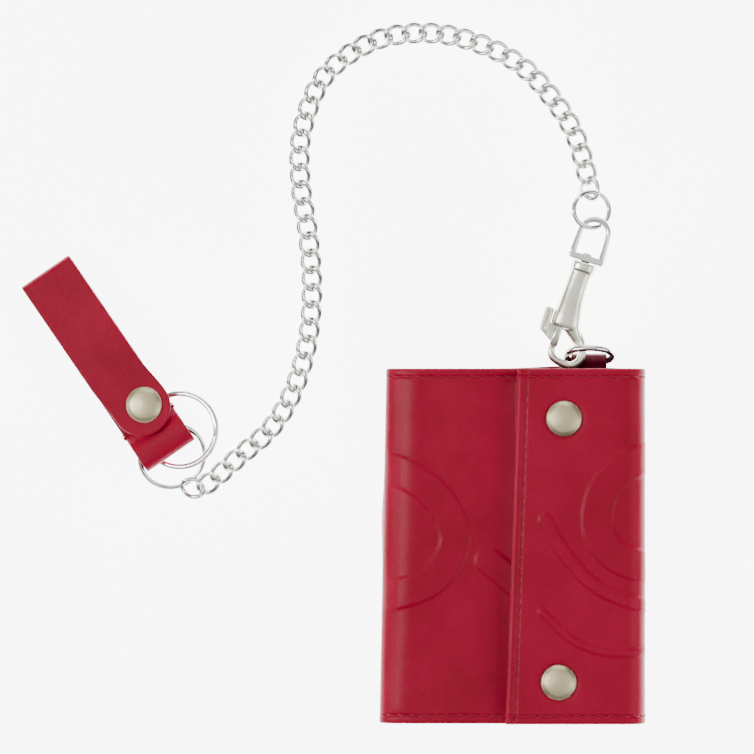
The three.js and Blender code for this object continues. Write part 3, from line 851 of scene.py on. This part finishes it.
UP, DOWN = (0, 0, 1), (0, 0, -1)
SIDE_SEAM = TOP - SEAM - 0.6
for word, y in (("top", TOP - SEAM), ("bottom", SEAM - TOP)):
    left = LEFT_IN + left_drift(LEFT_IN, y)
    for part, obj, x0, x1, z, normal, body in (
            ("front", front_panel, left, FRONT_HIGH[0], FRONT_MID, UP, "front"),
            ("front_end", front_end, FRONT_HIGH[0], TONGUE_X - FLAP_SEAM, FRONT_MID, UP, "front"),
            ("flap", flap_panel, flap_edge(y) + FLAP_SEAM, RIGHT_IN, FLAP_MID, UP, "flap"),
            ("back", back_panel, left, RIGHT_IN, BACK_MID, DOWN, "wallet_back")):
        sew(f"{part}_{word}_seam", obj, straight((x0, y, z), (x1, y, z), normal), body)
    for part, obj, stations, side, bend in (
            ("left_low", left_fold_low, left_line[:left_mid + 1], -1, LEFT_LOW_BEND),
            ("left_high", left_fold_high, left_line[left_mid:], -1, LEFT_HIGH_BEND),
            ("right_low", right_fold_low, right_line[:right_mid + 1], 1, RIGHT_LOW_BEND),
            ("right_high", right_fold_high, right_line[right_mid:], 1, RIGHT_HIGH_BEND)):
        sew(f"{part}_{word}_seam", obj, seam_along(stations, side, y), bend=bend)
flap_side = [(flap_edge(y) + FLAP_SEAM, y, FLAP_MID) for y in (-SIDE_SEAM, SIDE_SEAM)]
sew("flap_side_seam", flap_panel, straight(*flap_side, UP), "flap")
tongue_side = [(TONGUE_X - FLAP_SEAM, y, FRONT_MID) for y in (-SIDE_SEAM, SIDE_SEAM)]
sew("front_end_side_seam", front_end, straight(*tongue_side, UP), "front")

# ---------------------------------------------------------------- linings and pockets
INNER_SEAM = 2.0


def inner_layer(node, body, face, left_of=None, short=0.0):
    """One soft inner layer in place of its CAD sheet, with a stitched upper hem.

    left_of(y) is its left edge where that leans, and short is how far it stops before the left fold, to
    stay clear of the rounded leather."""
    low, high = cad(node)
    low[0] += short
    thick = high[2] - low[2]
    rows = np.array(edge_rows(high[1] - low[1], 1.6, INNER_SEAM)) + low[1]
    columns = edge_rows(high[0] - low[0], 1.8, INNER_SEAM)
    share = np.array(columns)[:, None] / columns[-1]
    left = np.array([left_of(y) if left_of else low[0] for y in rows])[None, :]
    grid_x = left + (high[0] - left) * share
    grid_y = np.broadcast_to(rows, grid_x.shape).copy()
    from_side = np.minimum(grid_x - grid_x[0][None, :], grid_x[-1][None, :] - grid_x)
    from_end = np.minimum(grid_y - low[1], high[1] - grid_y)
    distance = np.minimum(from_side, from_end)
    keep = turned(distance, 0.4) * thick / SHELL
    lift = 0.35 * seam_groove(distance, INNER_SEAM)
    sway = 0.12 * np.sin(grid_x * 0.1 + low[2]) * np.sin(grid_y * 0.06 + low[2] * 2)
    sway = sway * np.clip(distance / 6, 0, 1)
    centre = np.stack([grid_x, grid_y, (low[2] + high[2]) / 2 + sway], axis=-1)
    obj = leather_sheet(node + "_soft", centre, flat_normals(grid_x.shape, face), keep, lift, [LINING],
                        body, free_start=True, free_end=True)
    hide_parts(node)
    y, z = high[1] - INNER_SEAM, (low[2] + high[2]) / 2
    x0 = (left_of(y) if left_of else low[0]) + INNER_SEAM
    hem = straight((x0, y, z), (high[0] - INNER_SEAM, y, z), UP if face > 0 else DOWN)
    sew(node + "_hem", obj, hem, body, pitch=3.4, mat=DARK_THREAD, slot="lining_leather")


for node in ("back_lining", "bill_divider", "card_pocket_1", "card_pocket_2", "card_pocket_3"):
    inner_layer(node, "wallet_back", 1)
inner_layer("front_lining", "front", -1, short=8.0)
inner_layer("front_card_pocket", "front", -1, short=5.0)
inner_layer("flap_lining", "flap", -1, left_of=lambda y: flap_edge(y) + 2)

for obj, node in ((back_panel, "back_outer"), (left_fold_low, "left_fold"), (right_fold_low, "right_fold"),
                  (front_panel, "front_outer"), (front_end, "front_tongue"), (flap_panel, "flap_outer")):
    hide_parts(node)


# ---------------------------------------------------------------- snaps
def place(shape, mat, name, node, matrix, body=None, bend=None, slot="nickel"):
    """One shape, set down by a matrix, in place of a CAD node."""
    obj = Bag(moved(shape, matrix)).make(name, mat, slot)
    carried(obj, body, bend)
    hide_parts(node)


def rounded(profile, radius=0.12, steps=3):
    """A profile with its corners eased."""
    out = [profile[0]]
    for a, b, c in zip(profile, profile[1:], profile[2:]):
        pa, pb, pc = Vector((*a, 0)), Vector((*b, 0)), Vector((*c, 0))
        cut = min(radius, (pb - pa).length * 0.45, (pc - pb).length * 0.45)
        p, q = pb + (pa - pb).normalized() * cut, pb + (pc - pb).normalized() * cut
        for k in range(steps + 1):
            t = k / steps
            m = p * (1 - t) ** 2 + pb * 2 * t * (1 - t) + q * t * t
            out.append((m.x, m.y))
    out.append(profile[-1])
    return out


def snap_cap(name, node, body, matrix, bottom, height, post_end):
    """Domed cap with a rolled rim; its post goes down into the socket."""
    r = CAP_R
    rim = [(0.7, 0.05), (0.2, 0.1), (0, 0.36), (0.06, 0.66), (0.32, 0.95), (0.75, 1.16), (1.5, height * 0.75),
           (2.7, height * 0.87), (4.2, height * 0.96)]
    profile = [(0, post_end), (1.5, post_end), (1.5, bottom + 0.1)]
    profile += [(r - inset, bottom + rise) for inset, rise in rim]
    profile += [(0.8, bottom + height), (0, bottom + height)]
    place(lathe(rounded(profile, 0.25), 72), SATIN, name, node, matrix, body, slot="satin_nickel")


def socket_profile(high):
    return [(2.4, high - 2), (5.0, high - 2), (5.0, high - 0.4), (4.4, high), (1.8, high), (1.8, high - 0.6),
            (2.4, high - 0.6)]


def open_lathe(profile, segments=48):
    """A ring-shaped profile turned about Z: the profile is closed and stays off the axis."""
    vertices, faces = [], []
    n = len(profile)
    for k in range(segments):
        a = 2 * math.pi * k / segments
        vertices += [(r * math.cos(a), r * math.sin(a), z) for r, z in profile]
    for k in range(segments):
        m = (k + 1) % segments
        for i in range(n):
            j = (i + 1) % n
            faces.append((k * n + i, m * n + i, m * n + j, k * n + j))
    return vertices, faces


def ring_profile(closed):
    return rounded([closed[-1]] + closed + [closed[0]])[1:-1]


STUD_HEAD = 1.8              # from the leather to the top of a stud


def stud_profile(foot, z):
    """The shank goes down to foot; the flange lies on the leather at z."""
    return [(0, foot), (1.4, foot), (1.4, z), (4.3, z), (4.3, z + 0.3), (1.7, z + 0.3), (1.7, z + 0.7),
            (2.0, z + 1.1), (2.0, z + 1.5), (1.4, z + STUD_HEAD), (0, z + STUD_HEAD)]


def washer_profile(low, high):
    return [(1.8, low), (4.2, low), (4.2, high), (1.8, high)]


def snap_set(name, top_body, low_body, matrix, cap, socket, stud, washer):
    """cap: bottom, height, post end; socket: top; stud: foot and leather top; washer: bottom and top."""
    snap_cap(name + "_dome", name + "_cap", top_body, matrix, *cap)
    socket_ring = open_lathe(ring_profile(socket_profile(socket)))
    place(socket_ring, STEEL, name + "_ring", name + "_socket", matrix, top_body)
    place(lathe(rounded(stud_profile(*stud)), 48), STEEL, name + "_post", name + "_stud", matrix, low_body)
    washer_disc = open_lathe(ring_profile(washer_profile(*washer)))
    place(washer_disc, STEEL, name + "_disc", name + "_washer", matrix, low_body)


CAP_SINK = 0.12              # how far a cap presses into the leather
for i, (x, y) in enumerate(CAPS, 1):
    cap, socket, stud, washer = ([corner[2] for corner in cad(f"snap_{i}_{part}")]
                                 for part in ("cap", "socket", "stud", "washer"))
    cap_bottom = FLAP_HIGH[2] - CAP_SINK
    snap_set(f"snap_{i}", "flap", "front", Matrix.Translation((x, y, 0)),
             (cap_bottom, cap[1] - cap_bottom, cap[0]), socket[1], (stud[0], stud[1] - STUD_HEAD), washer)


# ---------------------------------------------------------------- D-ring and its tab
def loop_spline(points, per_knot=10):
    """Points on a smooth closed curve through the given ones."""
    pts = [Vector(p) for p in points]
    n = len(pts)
    return [curve_point(pts[i - 1], pts[i], pts[(i + 1) % n], pts[(i + 2) % n], k / per_knot)
            for i in range(n) for k in range(per_knot)]


RING_LEAN = 0.464            # how far the D-ring leans from upright towards the hook, radians
D_LEFT, D_RIGHT, D_DEPTH, D_WIRE = 17.7, 32.8, 9.5, 1.1
d_middle = (D_LEFT + D_RIGHT) / 2
d_points = [(D_LEFT + 1.8, 0, 0), (d_middle, 0, 0), (D_RIGHT - 1.8, 0, 0), (D_RIGHT, 0, 1.8),
            (D_RIGHT, 0, 5.0), (D_RIGHT - 2.3, 0, D_DEPTH - 1.4), (d_middle, 0, D_DEPTH),
            (D_LEFT + 2.3, 0, D_DEPTH - 1.4), (D_LEFT, 0, 5.0), (D_LEFT, 0, 1.8)]
D_BAR = PIVOTS["d_ring"]
D_FRAME = Matrix.Translation((0, D_BAR.y, D_BAR.z)) @ Matrix.Rotation(-RING_LEAN, 4, "X")
place(tube(loop_spline(d_points), D_WIRE, 18, closed=True, up=(0, 1, 0)), NICKEL, "d_ring_wire", "d_ring",
      D_FRAME, "d_ring")

TAB_LAYER = 0.85
# the tab in Y and Z: out under the ring's bar, round it and back
tab_line = [(47, 1.95), (52, 1.95), (56, 1.95), (59.5, 1.72), (61.3, 1.05), (62.6, 0.55), (63.9, 1.1),
            (64.45, 2.4), (63.9, 3.7), (62.6, 4.25), (61.3, 3.75), (59.5, 3.08), (56, 2.85), (52, 2.85),
            (47, 2.85)]
tab_points = np.array([(p.x, p.y) for p in spline([(y, z, 0) for y, z in tab_line], 0.4)[0]])
tab_tangent = tangents(tab_points)
TAB_RIGHT, TAB_LEFT, TAB_ROOT = 31.2, 19.2, 11.5
tab_v = [0, 0.012, 0.035, 0.08] + [0.14 + 0.72 * k / 14 for k in range(15)] + [0.92, 0.965, 0.988, 1]
tab_left = TAB_ROOT + (TAB_LEFT - TAB_ROOT) * np.clip((tab_points[:, 0] - 58.6) / 2.9, 0, 1)
tab_x = tab_left[:, None] + (TAB_RIGHT - tab_left)[:, None] * np.array(tab_v)[None, :]
tab_centre = np.stack([tab_x, np.broadcast_to(tab_points[:, 0][:, None], tab_x.shape),
                       np.broadcast_to(tab_points[:, 1][:, None], tab_x.shape)], axis=-1)
tab_normal = np.zeros_like(tab_centre)
tab_normal[..., 1] = tab_tangent[:, 1][:, None]
tab_normal[..., 2] = -tab_tangent[:, 0][:, None]
tab_distance = np.minimum(tab_x - tab_left[:, None], TAB_RIGHT - tab_x)
tab_keep = turned(tab_distance, 0.35, 0.4) * TAB_LAYER / SHELL
# the tab takes the darkened red leather: painted shade in place of the shadow that falls on it
d_ring_loop = leather_sheet("d_ring_loop", tab_centre, tab_normal, tab_keep, 0 * tab_x, [SHADED_RED_LEATHER],
                            "wallet_back", free_start=True, free_end=True)
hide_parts("d_ring_tab")

# ---------------------------------------------------------------- snap hook, with +Y up its barrel
HOOK = Matrix.Translation(PIVOTS["eye"]) @ Matrix.Rotation(-0.314, 4, "Z")
PLUNGER_X, PLUNGER_R = -1.6, 1.5
ARM_WIRE = 1.4


def even(*steps, x=0.0):
    """Loft sections as deep as they are wide, from (y, radius, squareness) steps."""
    return [(y, x - r, x + r, r, square) for y, r, square in steps]


def loft(sections, segments=40):
    """A cast bar along +Y: each section is (y, left, right, half depth, squareness)."""
    vertices, faces = [], []
    for y, left, right, depth, square in sections:
        middle, half = (left + right) / 2, (right - left) / 2
        for k in range(segments):
            a = 2 * math.pi * k / segments
            vertices.append((middle + half * rounder(math.cos(a), 2 / square), y,
                             depth * rounder(math.sin(a), 2 / square)))
    for i in range(len(sections) - 1):
        for k in range(segments):
            n = (k + 1) % segments
            faces.append((i * segments + k, (i + 1) * segments + k, (i + 1) * segments + n, i * segments + n))
    faces.append(tuple(range(segments)))
    faces.append(tuple(reversed(range((len(sections) - 1) * segments, len(sections) * segments))))
    return vertices, faces


def eased_plate(outline, z0, z1, ease=0.3, steps=3):
    """A flat plate with a polygon outline, listed anticlockwise, and rounded edges."""
    b = bmesh.new()
    lower = [b.verts.new((x, y, z0)) for x, y in outline]
    upper = [b.verts.new((x, y, z1)) for x, y in outline]
    b.faces.new(list(reversed(lower)))
    b.faces.new(upper)
    for i in range(len(outline)):
        n = (i + 1) % len(outline)
        b.faces.new((lower[i], lower[n], upper[n], upper[i]))
    bmesh.ops.bevel(b, geom=b.edges[:], offset=ease, segments=steps, profile=0.5, affect="EDGES")
    b.verts.index_update()
    shape = [tuple(v.co) for v in b.verts], [tuple(v.index for v in f.verts) for f in b.faces]
    b.free()
    return shape


def rod_y(radius, y0, y1, x=0.0, segments=32):
    """A plain closed rod along +Y."""
    return loft(even((y0, radius, 2), (y1, radius, 2), x=x), segments)


def settled(obj, modifiers):
    """Gives obj the mesh that its modifiers make, and takes them off."""
    for name, kind, values in modifiers:
        m = obj.modifiers.new(name, kind)
        for key, value in values.items():
            setattr(m, key, value)
    bpy.context.view_layer.update()
    mesh = bpy.data.meshes.new_from_object(obj.evaluated_get(bpy.context.evaluated_depsgraph_get()))
    obj.modifiers.clear()
    old = obj.data
    obj.data = mesh
    bpy.data.meshes.remove(old)


def fused(name, shapes, mat, cell, soften, cutters=()):
    """Shapes melted into one casting, then cut by clean solid shapes."""
    obj = Bag(*shapes).make(name, mat)
    settled(obj, [("melt", "REMESH", {"mode": "VOXEL", "voxel_size": cell * MM, "use_smooth_shade": True}),
                  ("soften", "SMOOTH", {"iterations": soften, "factor": 0.5})])
    for shape in cutters:
        tool = Bag(shape).make(f"{name}_tool", mat, slot=None)
        settled(obj, [("bore", "BOOLEAN", {"operation": "DIFFERENCE", "object": tool, "solver": "EXACT"})])
        bpy.data.objects.remove(tool)
    for polygon in obj.data.polygons:
        polygon.use_smooth = True
    return obj


def in_metres(matrix):
    """A placement in millimetres as one for mesh data in metres."""
    return Matrix.Translation(matrix.translation * MM) @ matrix.to_3x3().to_4x4()


def set_on_hook(obj, body, node=None):
    """Moves a piece made in the hook's frame to its place, on its body."""
    obj.data.transform(in_metres(HOOK))
    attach(obj, body)
    if node:
        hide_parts(node)


barrel = loft([
    (-13.5, -3.7, 4.4, 2.7, 2.6), (-13.2, -4.5, 5.0, 3.3, 2.7), (-12.0, -4.75, 5.1, 3.6, 2.8),
    (-9.0, -4.7, 4.8, 3.7, 2.8), (-6.0, -4.5, 4.2, 3.6, 2.8), (-3.0, -4.3, 3.75, 3.4, 2.8),
    (0.0, -4.15, 3.5, 3.3, 2.8), (3.5, -4.05, 3.45, 3.3, 2.8), (6.0, -3.95, 3.7, 3.4, 2.8),
    (6.6, -4.0, 3.9, 3.5, 2.8), (7.0, -4.3, 4.25, 3.9, 2.6), (8.9, -4.4, 4.35, 4.1, 2.6),
    (9.4, -4.3, 4.25, 4.0, 2.6), (9.7, -3.9, 3.9, 3.7, 2.6),
])
root = loft([(-8.0, -1.5, 4.2, 3.4, 2.6), (-10.0, -1.5, 4.75, 3.4, 2.6), (-12.0, -1.3, 5.4, 3.1, 2.6),
             (-13.8, -0.4, 6.5, 2.7, 2.5), (-15.6, 2.0, 7.9, 2.3, 2.3), (-17.4, 4.3, 8.9, 1.6, 2.1),
             (-18.3, 5.4, 9.3, 1.2, 2.0)])
throat = spline([(1.6, -7.0, 0), (2.1, -9.0, 0), (3.8, -12.6, 0), (6.9, -16.0, 0), (8.5, -19.3, 0),
                 (8.3, -22.6, 0), (6.1, -24.8, 0), (2.7, -24.8, 0), (-0.5, -23.8, 0), (-1.6, -22.3, 0),
                 (-1.8, -21.0, 0)], 0.4)[0]
arm = tube(throat, lambda t: ARM_WIRE + 1.5 * max(0.0, 1 - t / 0.46) ** 1.4, 24)
BORE = rod_y(PLUNGER_R + 0.2, -14.5, -3.6, PLUNGER_X)
LATCH_SLOT = eased_plate([(-6, -14.5), (PLUNGER_X, -14.5), (PLUNGER_X, -4.4), (-6, -4.4)], -0.95, 0.95,
                         0.05, 1)
hook_casting = fused("hook_casting", [barrel, root, arm], CAST, 0.17, 14,
                     [BORE, rod_y(1.8, 3.0, 10.5), rod_y(2.6, -0.6, 3.1), LATCH_SLOT])
set_on_hook(hook_casting, "hook", "hook_body")

COIL_TOP, COIL_LOW, COIL_R, COIL_TURNS, COIL_STEPS = -4.2, -8.3, 1.05, 4, 20
coil = []
for k in range(COIL_TURNS * COIL_STEPS + 1):
    a = 2 * math.pi * k / COIL_STEPS
    up = (COIL_TOP - COIL_LOW) * k / (COIL_TURNS * COIL_STEPS)
    coil.append((PLUNGER_X + COIL_R * math.cos(a), COIL_LOW + up, COIL_R * math.sin(a)))
coil_bend = ("hook", "latch", tuple(HOOK @ Vector((PLUNGER_X, COIL_TOP, 0)) * MM),
             tuple(HOOK @ Vector((PLUNGER_X, COIL_LOW - 0.1, 0)) * MM))
place(tube(coil, 0.22, 8, up=(0, 1, 0)), STEEL, "latch_coil", "latch_spring", HOOK, bend=coil_bend)

plunger = loft(even((-20.3, 1.1, 4), (-20.0, 1.4, 4), (-15.0, 1.4, 4), (-13.0, 1.4, 2), (-9.0, 1.4, 2),
                    x=PLUNGER_X), 32)
thumb_piece = eased_plate([(-8.0, -15.9), (-4.9, -17.7), (-4.9, -8.6), (-5.5, -8.0), (-7.6, -8.0),
                           (-8.0, -8.6)], -1.5, 1.5, 0.45)
latch_web = eased_plate([(-5.6, -17.4), (-2.9, -19.0), (-2.0, -19.0), (-2.0, -12.9), (-5.6, -12.9)],
                        -0.7, 0.7, 0.25)
thumb_ridges = [tube(spline([(x, low, 1.7), (x, -8.9, 1.7)], 0.5)[0], 0.52, 12, flat=0.9)
                for x, low in ((-7.25, -14.9), (-5.85, -15.7))]
# the latch takes the darkened nickel: painted shade
set_on_hook(Bag(plunger, thumb_piece, latch_web, *thumb_ridges).make("thumb_latch", SHADED_LATCH_NICKEL), "latch", "latch")

EYE_R, EYE_AT, EYE_WIRE = 4.75, 20.2, 1.05
arch = [(-5.0, 11.6, 0), (-5.05, 14.0, 0), (-4.95, 17.0, 0)]
for k in range(9):
    a = math.pi - math.pi * k / 8
    arch.append((EYE_R * math.cos(a), EYE_AT + EYE_R * math.sin(a), 0))
arch += [(4.95, 17.0, 0), (5.05, 14.0, 0), (5.0, 11.6, 0)]
eye_base = eased_plate([(-5.9, 10.1), (5.9, 10.1), (6.25, 11.2), (5.9, 12.6), (4.2, 12.35), (-4.2, 12.35),
                        (-5.9, 12.6), (-6.25, 11.2)], -1.9, 1.9, 0.5)
eye_arch = tube(spline(arch, 0.4)[0], lambda t: EYE_WIRE + 0.3 * abs(2 * t - 1) ** 4, 20)
set_on_hook(fused("swivel_casting", [eye_base, eye_arch], NICKEL, 0.15, 3), "eye", "swivel_eye")
rivet_stem = loft(even((0, 2.1, 2), (2.1, 2.1, 2), (2.2, 1.45, 2), (11, 1.45, 2)))
rivet_head = loft(even((12.0, 1.7, 2), (12.75, 1.6, 2), (13.1, 1.1, 2), (13.25, 0.4, 2)))
set_on_hook(Bag(rivet_stem, rivet_head).make("swivel_rivet", STEEL), "eye")


# ---------------------------------------------------------------- rings
def wire_arc(radius, wire, start, end, steps, height=None, sides=16, flat=1.0):
    """A plain wire bent round an arc; height(angle) lifts it."""
    points = []
    for k in range(steps + 1):
        a = start + (end - start) * k / steps
        points.append((radius * math.cos(a), radius * math.sin(a), height(a) if height else 0.0))
    return tube(points, wire, sides, flat=flat, dome=False)


JUMP_R, JUMP_WIRE = 5.85, 0.84
JUMP_GAP_AT, JUMP_GAP = 2.27, 0.045      # where the ring is split, and half the gap, radians
JUMP_LEAN = Matrix.Rotation(0.12, 4, "Z") @ Matrix.Rotation(0.5, 4, "Y")
JUMP = Matrix.Translation(PIVOTS["jump_ring"]) @ JUMP_LEAN @ Matrix.Diagonal((1.18, 1.03, 1, 1))
place(wire_arc(JUMP_R, JUMP_WIRE, JUMP_GAP_AT + JUMP_GAP, JUMP_GAP_AT + 2 * math.pi - JUMP_GAP, 110), NICKEL,
      "jump_ring_wire", "jump_ring", JUMP, "jump_ring")

END_RING_R, END_RING_WIRE = 11.1, 0.9
STRAP_AT = PIVOTS["strap"]
STRAP_FRAME = Matrix.Translation((STRAP_AT.x, STRAP_AT.y, 0)) @ Matrix.Rotation(-0.969, 4, "Z")
END_RING = STRAP_FRAME @ Matrix.Translation((0, 0, STRAP_AT.z)) @ Matrix.Rotation(0.36, 4, "Y")
ring_points = [(END_RING_R * math.cos(2 * math.pi * k / 120), END_RING_R * math.sin(2 * math.pi * k / 120), 0)
               for k in range(120)]
place(tube(ring_points, END_RING_WIRE, 16, closed=True), NICKEL, "end_ring_wire", "end_ring", END_RING,
      "end_ring")

KEY_LEAN = Matrix.Rotation(-0.375, 4, "Z") @ Matrix.Rotation(-0.167, 4, "Y")
KEY_RING = Matrix.Translation(PIVOTS["key_ring"]) @ KEY_LEAN
KEY_R, KEY_WIDE, KEY_LAYER = 12.4, 1.9, 0.86
KEY_START = 0.36             # angle where the wire starts


def coil_height(a):
    """Two flat coils; the wire climbs from the lower to the upper one in a short step."""
    turn = (a - KEY_START) / (2 * math.pi)
    t = min(1.0, max(0.0, (turn - 0.93) / 0.1))
    return KEY_LAYER * 0.53 * (2 * t * t * (3 - 2 * t) - 1)


key_coils = wire_arc(KEY_R, KEY_WIDE / 2, KEY_START, KEY_START + 4 * math.pi - 0.12, 300, coil_height, 20,
                     KEY_LAYER / KEY_WIDE)
place(key_coils, NICKEL, "key_ring_coils", "key_ring", KEY_RING, "key_ring")

# ---------------------------------------------------------------- belt strap, in its own frame
STRAP = STRAP_FRAME @ Matrix.Translation((0, 0, 4.2)) @ Matrix.Rotation(-0.0378, 4, "Y")
STRAP_L, STRAP_HALF, STRAP_T = 75.4, 9.7, 1.2
STRAP_FRONT_Z, STRAP_FRONT_T = 8.6, 1.4
STRAP_SNAP = (-19.2, 2.2)
TIP_R = 9.9                  # radius of the rounded tip
FOLD_FROM, FOLD_TO = -62.0, -64.0        # where the strap's turnover starts and ends, along the strap


def strap_rows(count=26):
    """Places across the strap, closer together at its edges."""
    near = [0, 0.05, 0.16, 0.34, 0.6, 1.0]
    span = 2 * STRAP_HALF
    middle = [near[-1] + (span - 2 * near[-1]) * k / count for k in range(1, count)]
    return np.array(near + middle + [span - d for d in reversed(near)]) - STRAP_HALF


def strap_sheet(name, stations, thickness, body=None, bend=None, free_start=False, free_end=False,
                shape=None):
    """Strap leather along a line of (x, z) stations; the outer face is on the left of the line's direction.

    shape(x, v) gives y and the distance from the edge, for v from -1 to 1 across the strap."""
    pts = np.array(stations)
    tangent = tangents(pts)
    rows = strap_rows()
    y = np.broadcast_to(rows, (len(pts), len(rows))).copy()
    x = np.broadcast_to(pts[:, 0][:, None], y.shape).copy()
    distance = STRAP_HALF - np.abs(y)
    if shape:
        y, distance = shape(x, y / STRAP_HALF)
    keep = turned(distance, 0.45, 0.35) * np.broadcast_to(np.asarray(thickness), (len(pts),))[:, None] / SHELL
    lift = 0.06 * np.sin(x * 0.13 + 0.4) * np.cos(y * 0.16)
    centre = np.stack([x, y, np.broadcast_to(pts[:, 1][:, None], y.shape)], axis=-1)
    normal = np.zeros_like(centre)
    normal[..., 0] = -tangent[:, 1][:, None]
    normal[..., 2] = tangent[:, 0][:, None]
    turn = np.array(STRAP.to_3x3())
    centre = centre @ turn.T + np.array(STRAP.translation)
    normal = normal @ turn.T
    return leather_sheet(name, centre, normal, keep, lift, body=body, bend=bend, free_start=free_start,
                         free_end=free_end)


def stations_along(points, step=0.5):
    return [(p.x, p.z) for p in spline([(x, 0, z) for x, z in points], step)[0]]


strap_bend = ("strap", "strap_flap", tuple(STRAP @ Vector((-STRAP_L, 0, 3.0)) * MM),
              tuple(STRAP @ Vector((-STRAP_L, 0, 8.0)) * MM))
under_line = stations_along([(-27.2, 1.78), (-22, 1.86), (-16.5, 1.88), (-13.8, 2.25), (-12.0, 3.8),
                             (-10.2, 5.7), (-7.6, 6.75), (-4.4, 6.92), (-2.0, 6.5), (-0.85, 5.3),
                             (-0.62, 3.75), (-0.85, 2.1), (-2.1, 0.92), (-4.6, 0.6), (-12, 0.6), (-30, 0.6),
                             (-50, 0.6), (FOLD_FROM, 0.6)])
strap_under = strap_sheet("strap_under", under_line, STRAP_T, "strap", free_start=True)
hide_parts("strap_back")
fold_line = stations_along([(FOLD_FROM, 0.6), (-68, 0.6), (-72.4, 0.62), (-74.2, 1.1), (-74.85, 2.6),
                            (-74.95, 4.6), (-74.9, 6.7), (-74.35, 8.15), (-72.9, 8.58), (-68.5, 8.6),
                            (FOLD_TO, STRAP_FRONT_Z)], 0.35)
fold_thickness = np.linspace(STRAP_T, STRAP_FRONT_T, len(fold_line))
strap_sheet("strap_turnover", fold_line, fold_thickness, bend=strap_bend)
TIP_Y = STRAP_SNAP[1] / 2


def tip_outline(x, v):
    """Straight sides, then a half circle round the snap."""
    t = np.clip((x + 34) / 15, 0, 1)
    t = t * t * (3 - 2 * t)
    along = np.clip((x - STRAP_SNAP[0]) / TIP_R, 0, 0.9995)
    half = (STRAP_HALF + (TIP_R - STRAP_HALF) * t) * np.sqrt(1 - along ** 2)
    y = TIP_Y * t + half * v
    inside = TIP_R - np.hypot(x - STRAP_SNAP[0], y - TIP_Y)
    return y, np.where(x > STRAP_SNAP[0], inside, half * (1 - np.abs(v)))


front_stations = [FOLD_TO + (STRAP_SNAP[0] - FOLD_TO) * k / 70 for k in range(71)]
front_stations += [STRAP_SNAP[0] + TIP_R * math.sin(math.pi / 2 * k / 30) * 0.9995 for k in range(1, 31)]
strap_over = strap_sheet("strap_over", [(x, STRAP_FRONT_Z) for x in front_stations], STRAP_FRONT_T,
                         "strap_flap", free_end=True, shape=tip_outline)
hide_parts("strap_front")
snap_set("strap_snap", "strap_flap", "strap", STRAP @ Matrix.Translation((*STRAP_SNAP, 0)),
         (9.2, 2.1, 7.3), 7.6, (-0.7, 2.8), (-0.9, -0.3))

# tack seam across the strap, with knots that wrap its edges
TACK_X = -14.3
tack_bag = Bag()
for k in range(6):
    y0 = -8.6 + k * 3.05
    knots = [(TACK_X, y0, 2.0), (TACK_X + 0.06, y0 + 0.2, 2.5), (TACK_X + 0.16, y0 + 0.9, 2.72),
             (TACK_X + 0.24, y0 + 1.7, 2.72), (TACK_X + 0.32, y0 + 2.3, 2.5), (TACK_X + 0.36, y0 + 2.45, 2.0)]
    tack_bag.add(tube(knots, 0.3, 8))
for side in (-1, 1):
    for dx, reach in ((-0.75, 0.42), (0.0, 0.55), (0.7, 0.38)):
        e = side * STRAP_HALF
        loop = [(TACK_X + dx, e - side * 1.5, 2.3), (TACK_X + dx + 0.1, e - side * 0.8, 2.75),
                (TACK_X + dx + 0.25, e + side * 0.1, 2.6), (TACK_X + dx + 0.3, e + side * reach, 1.3),
                (TACK_X + dx + 0.1, e + side * 0.1, -0.1), (TACK_X + dx, e - side * 1.2, -0.15)]
        tack_bag.add(tube(spline(loop, 0.3)[0], 0.28, 8))
    tail = [(TACK_X, side * (STRAP_HALF - 0.4), 2.7), (TACK_X + 0.5, side * (STRAP_HALF + 0.2), 2.9),
            (TACK_X + 1.1, side * (STRAP_HALF + 0.25), 2.6)]
    tack_bag.add(tube(spline(tail, 0.25)[0], 0.3, 8))
tacks = tack_bag.make("strap_tacks", THREAD, "red_leather")
tacks.data.transform(in_metres(STRAP))
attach(tacks, "strap")

# ---------------------------------------------------------------- floor
FLOOR_HALF = 3.0             # metres
FLOOR_Z = -0.0005            # just clear of the stitches under the wallet
ground = bpy.data.meshes.new("ground")
ground.from_pydata([(x * FLOOR_HALF, y * FLOOR_HALF, 0) for x, y in ((-1, -1), (1, -1), (1, 1), (-1, 1))], [],
                   [(0, 1, 2, 3)])
floor = bpy.data.objects.new("floor", ground)
floor.location.z = FLOOR_Z
scene.collection.objects.link(floor)
ground.materials.append(FLOOR)
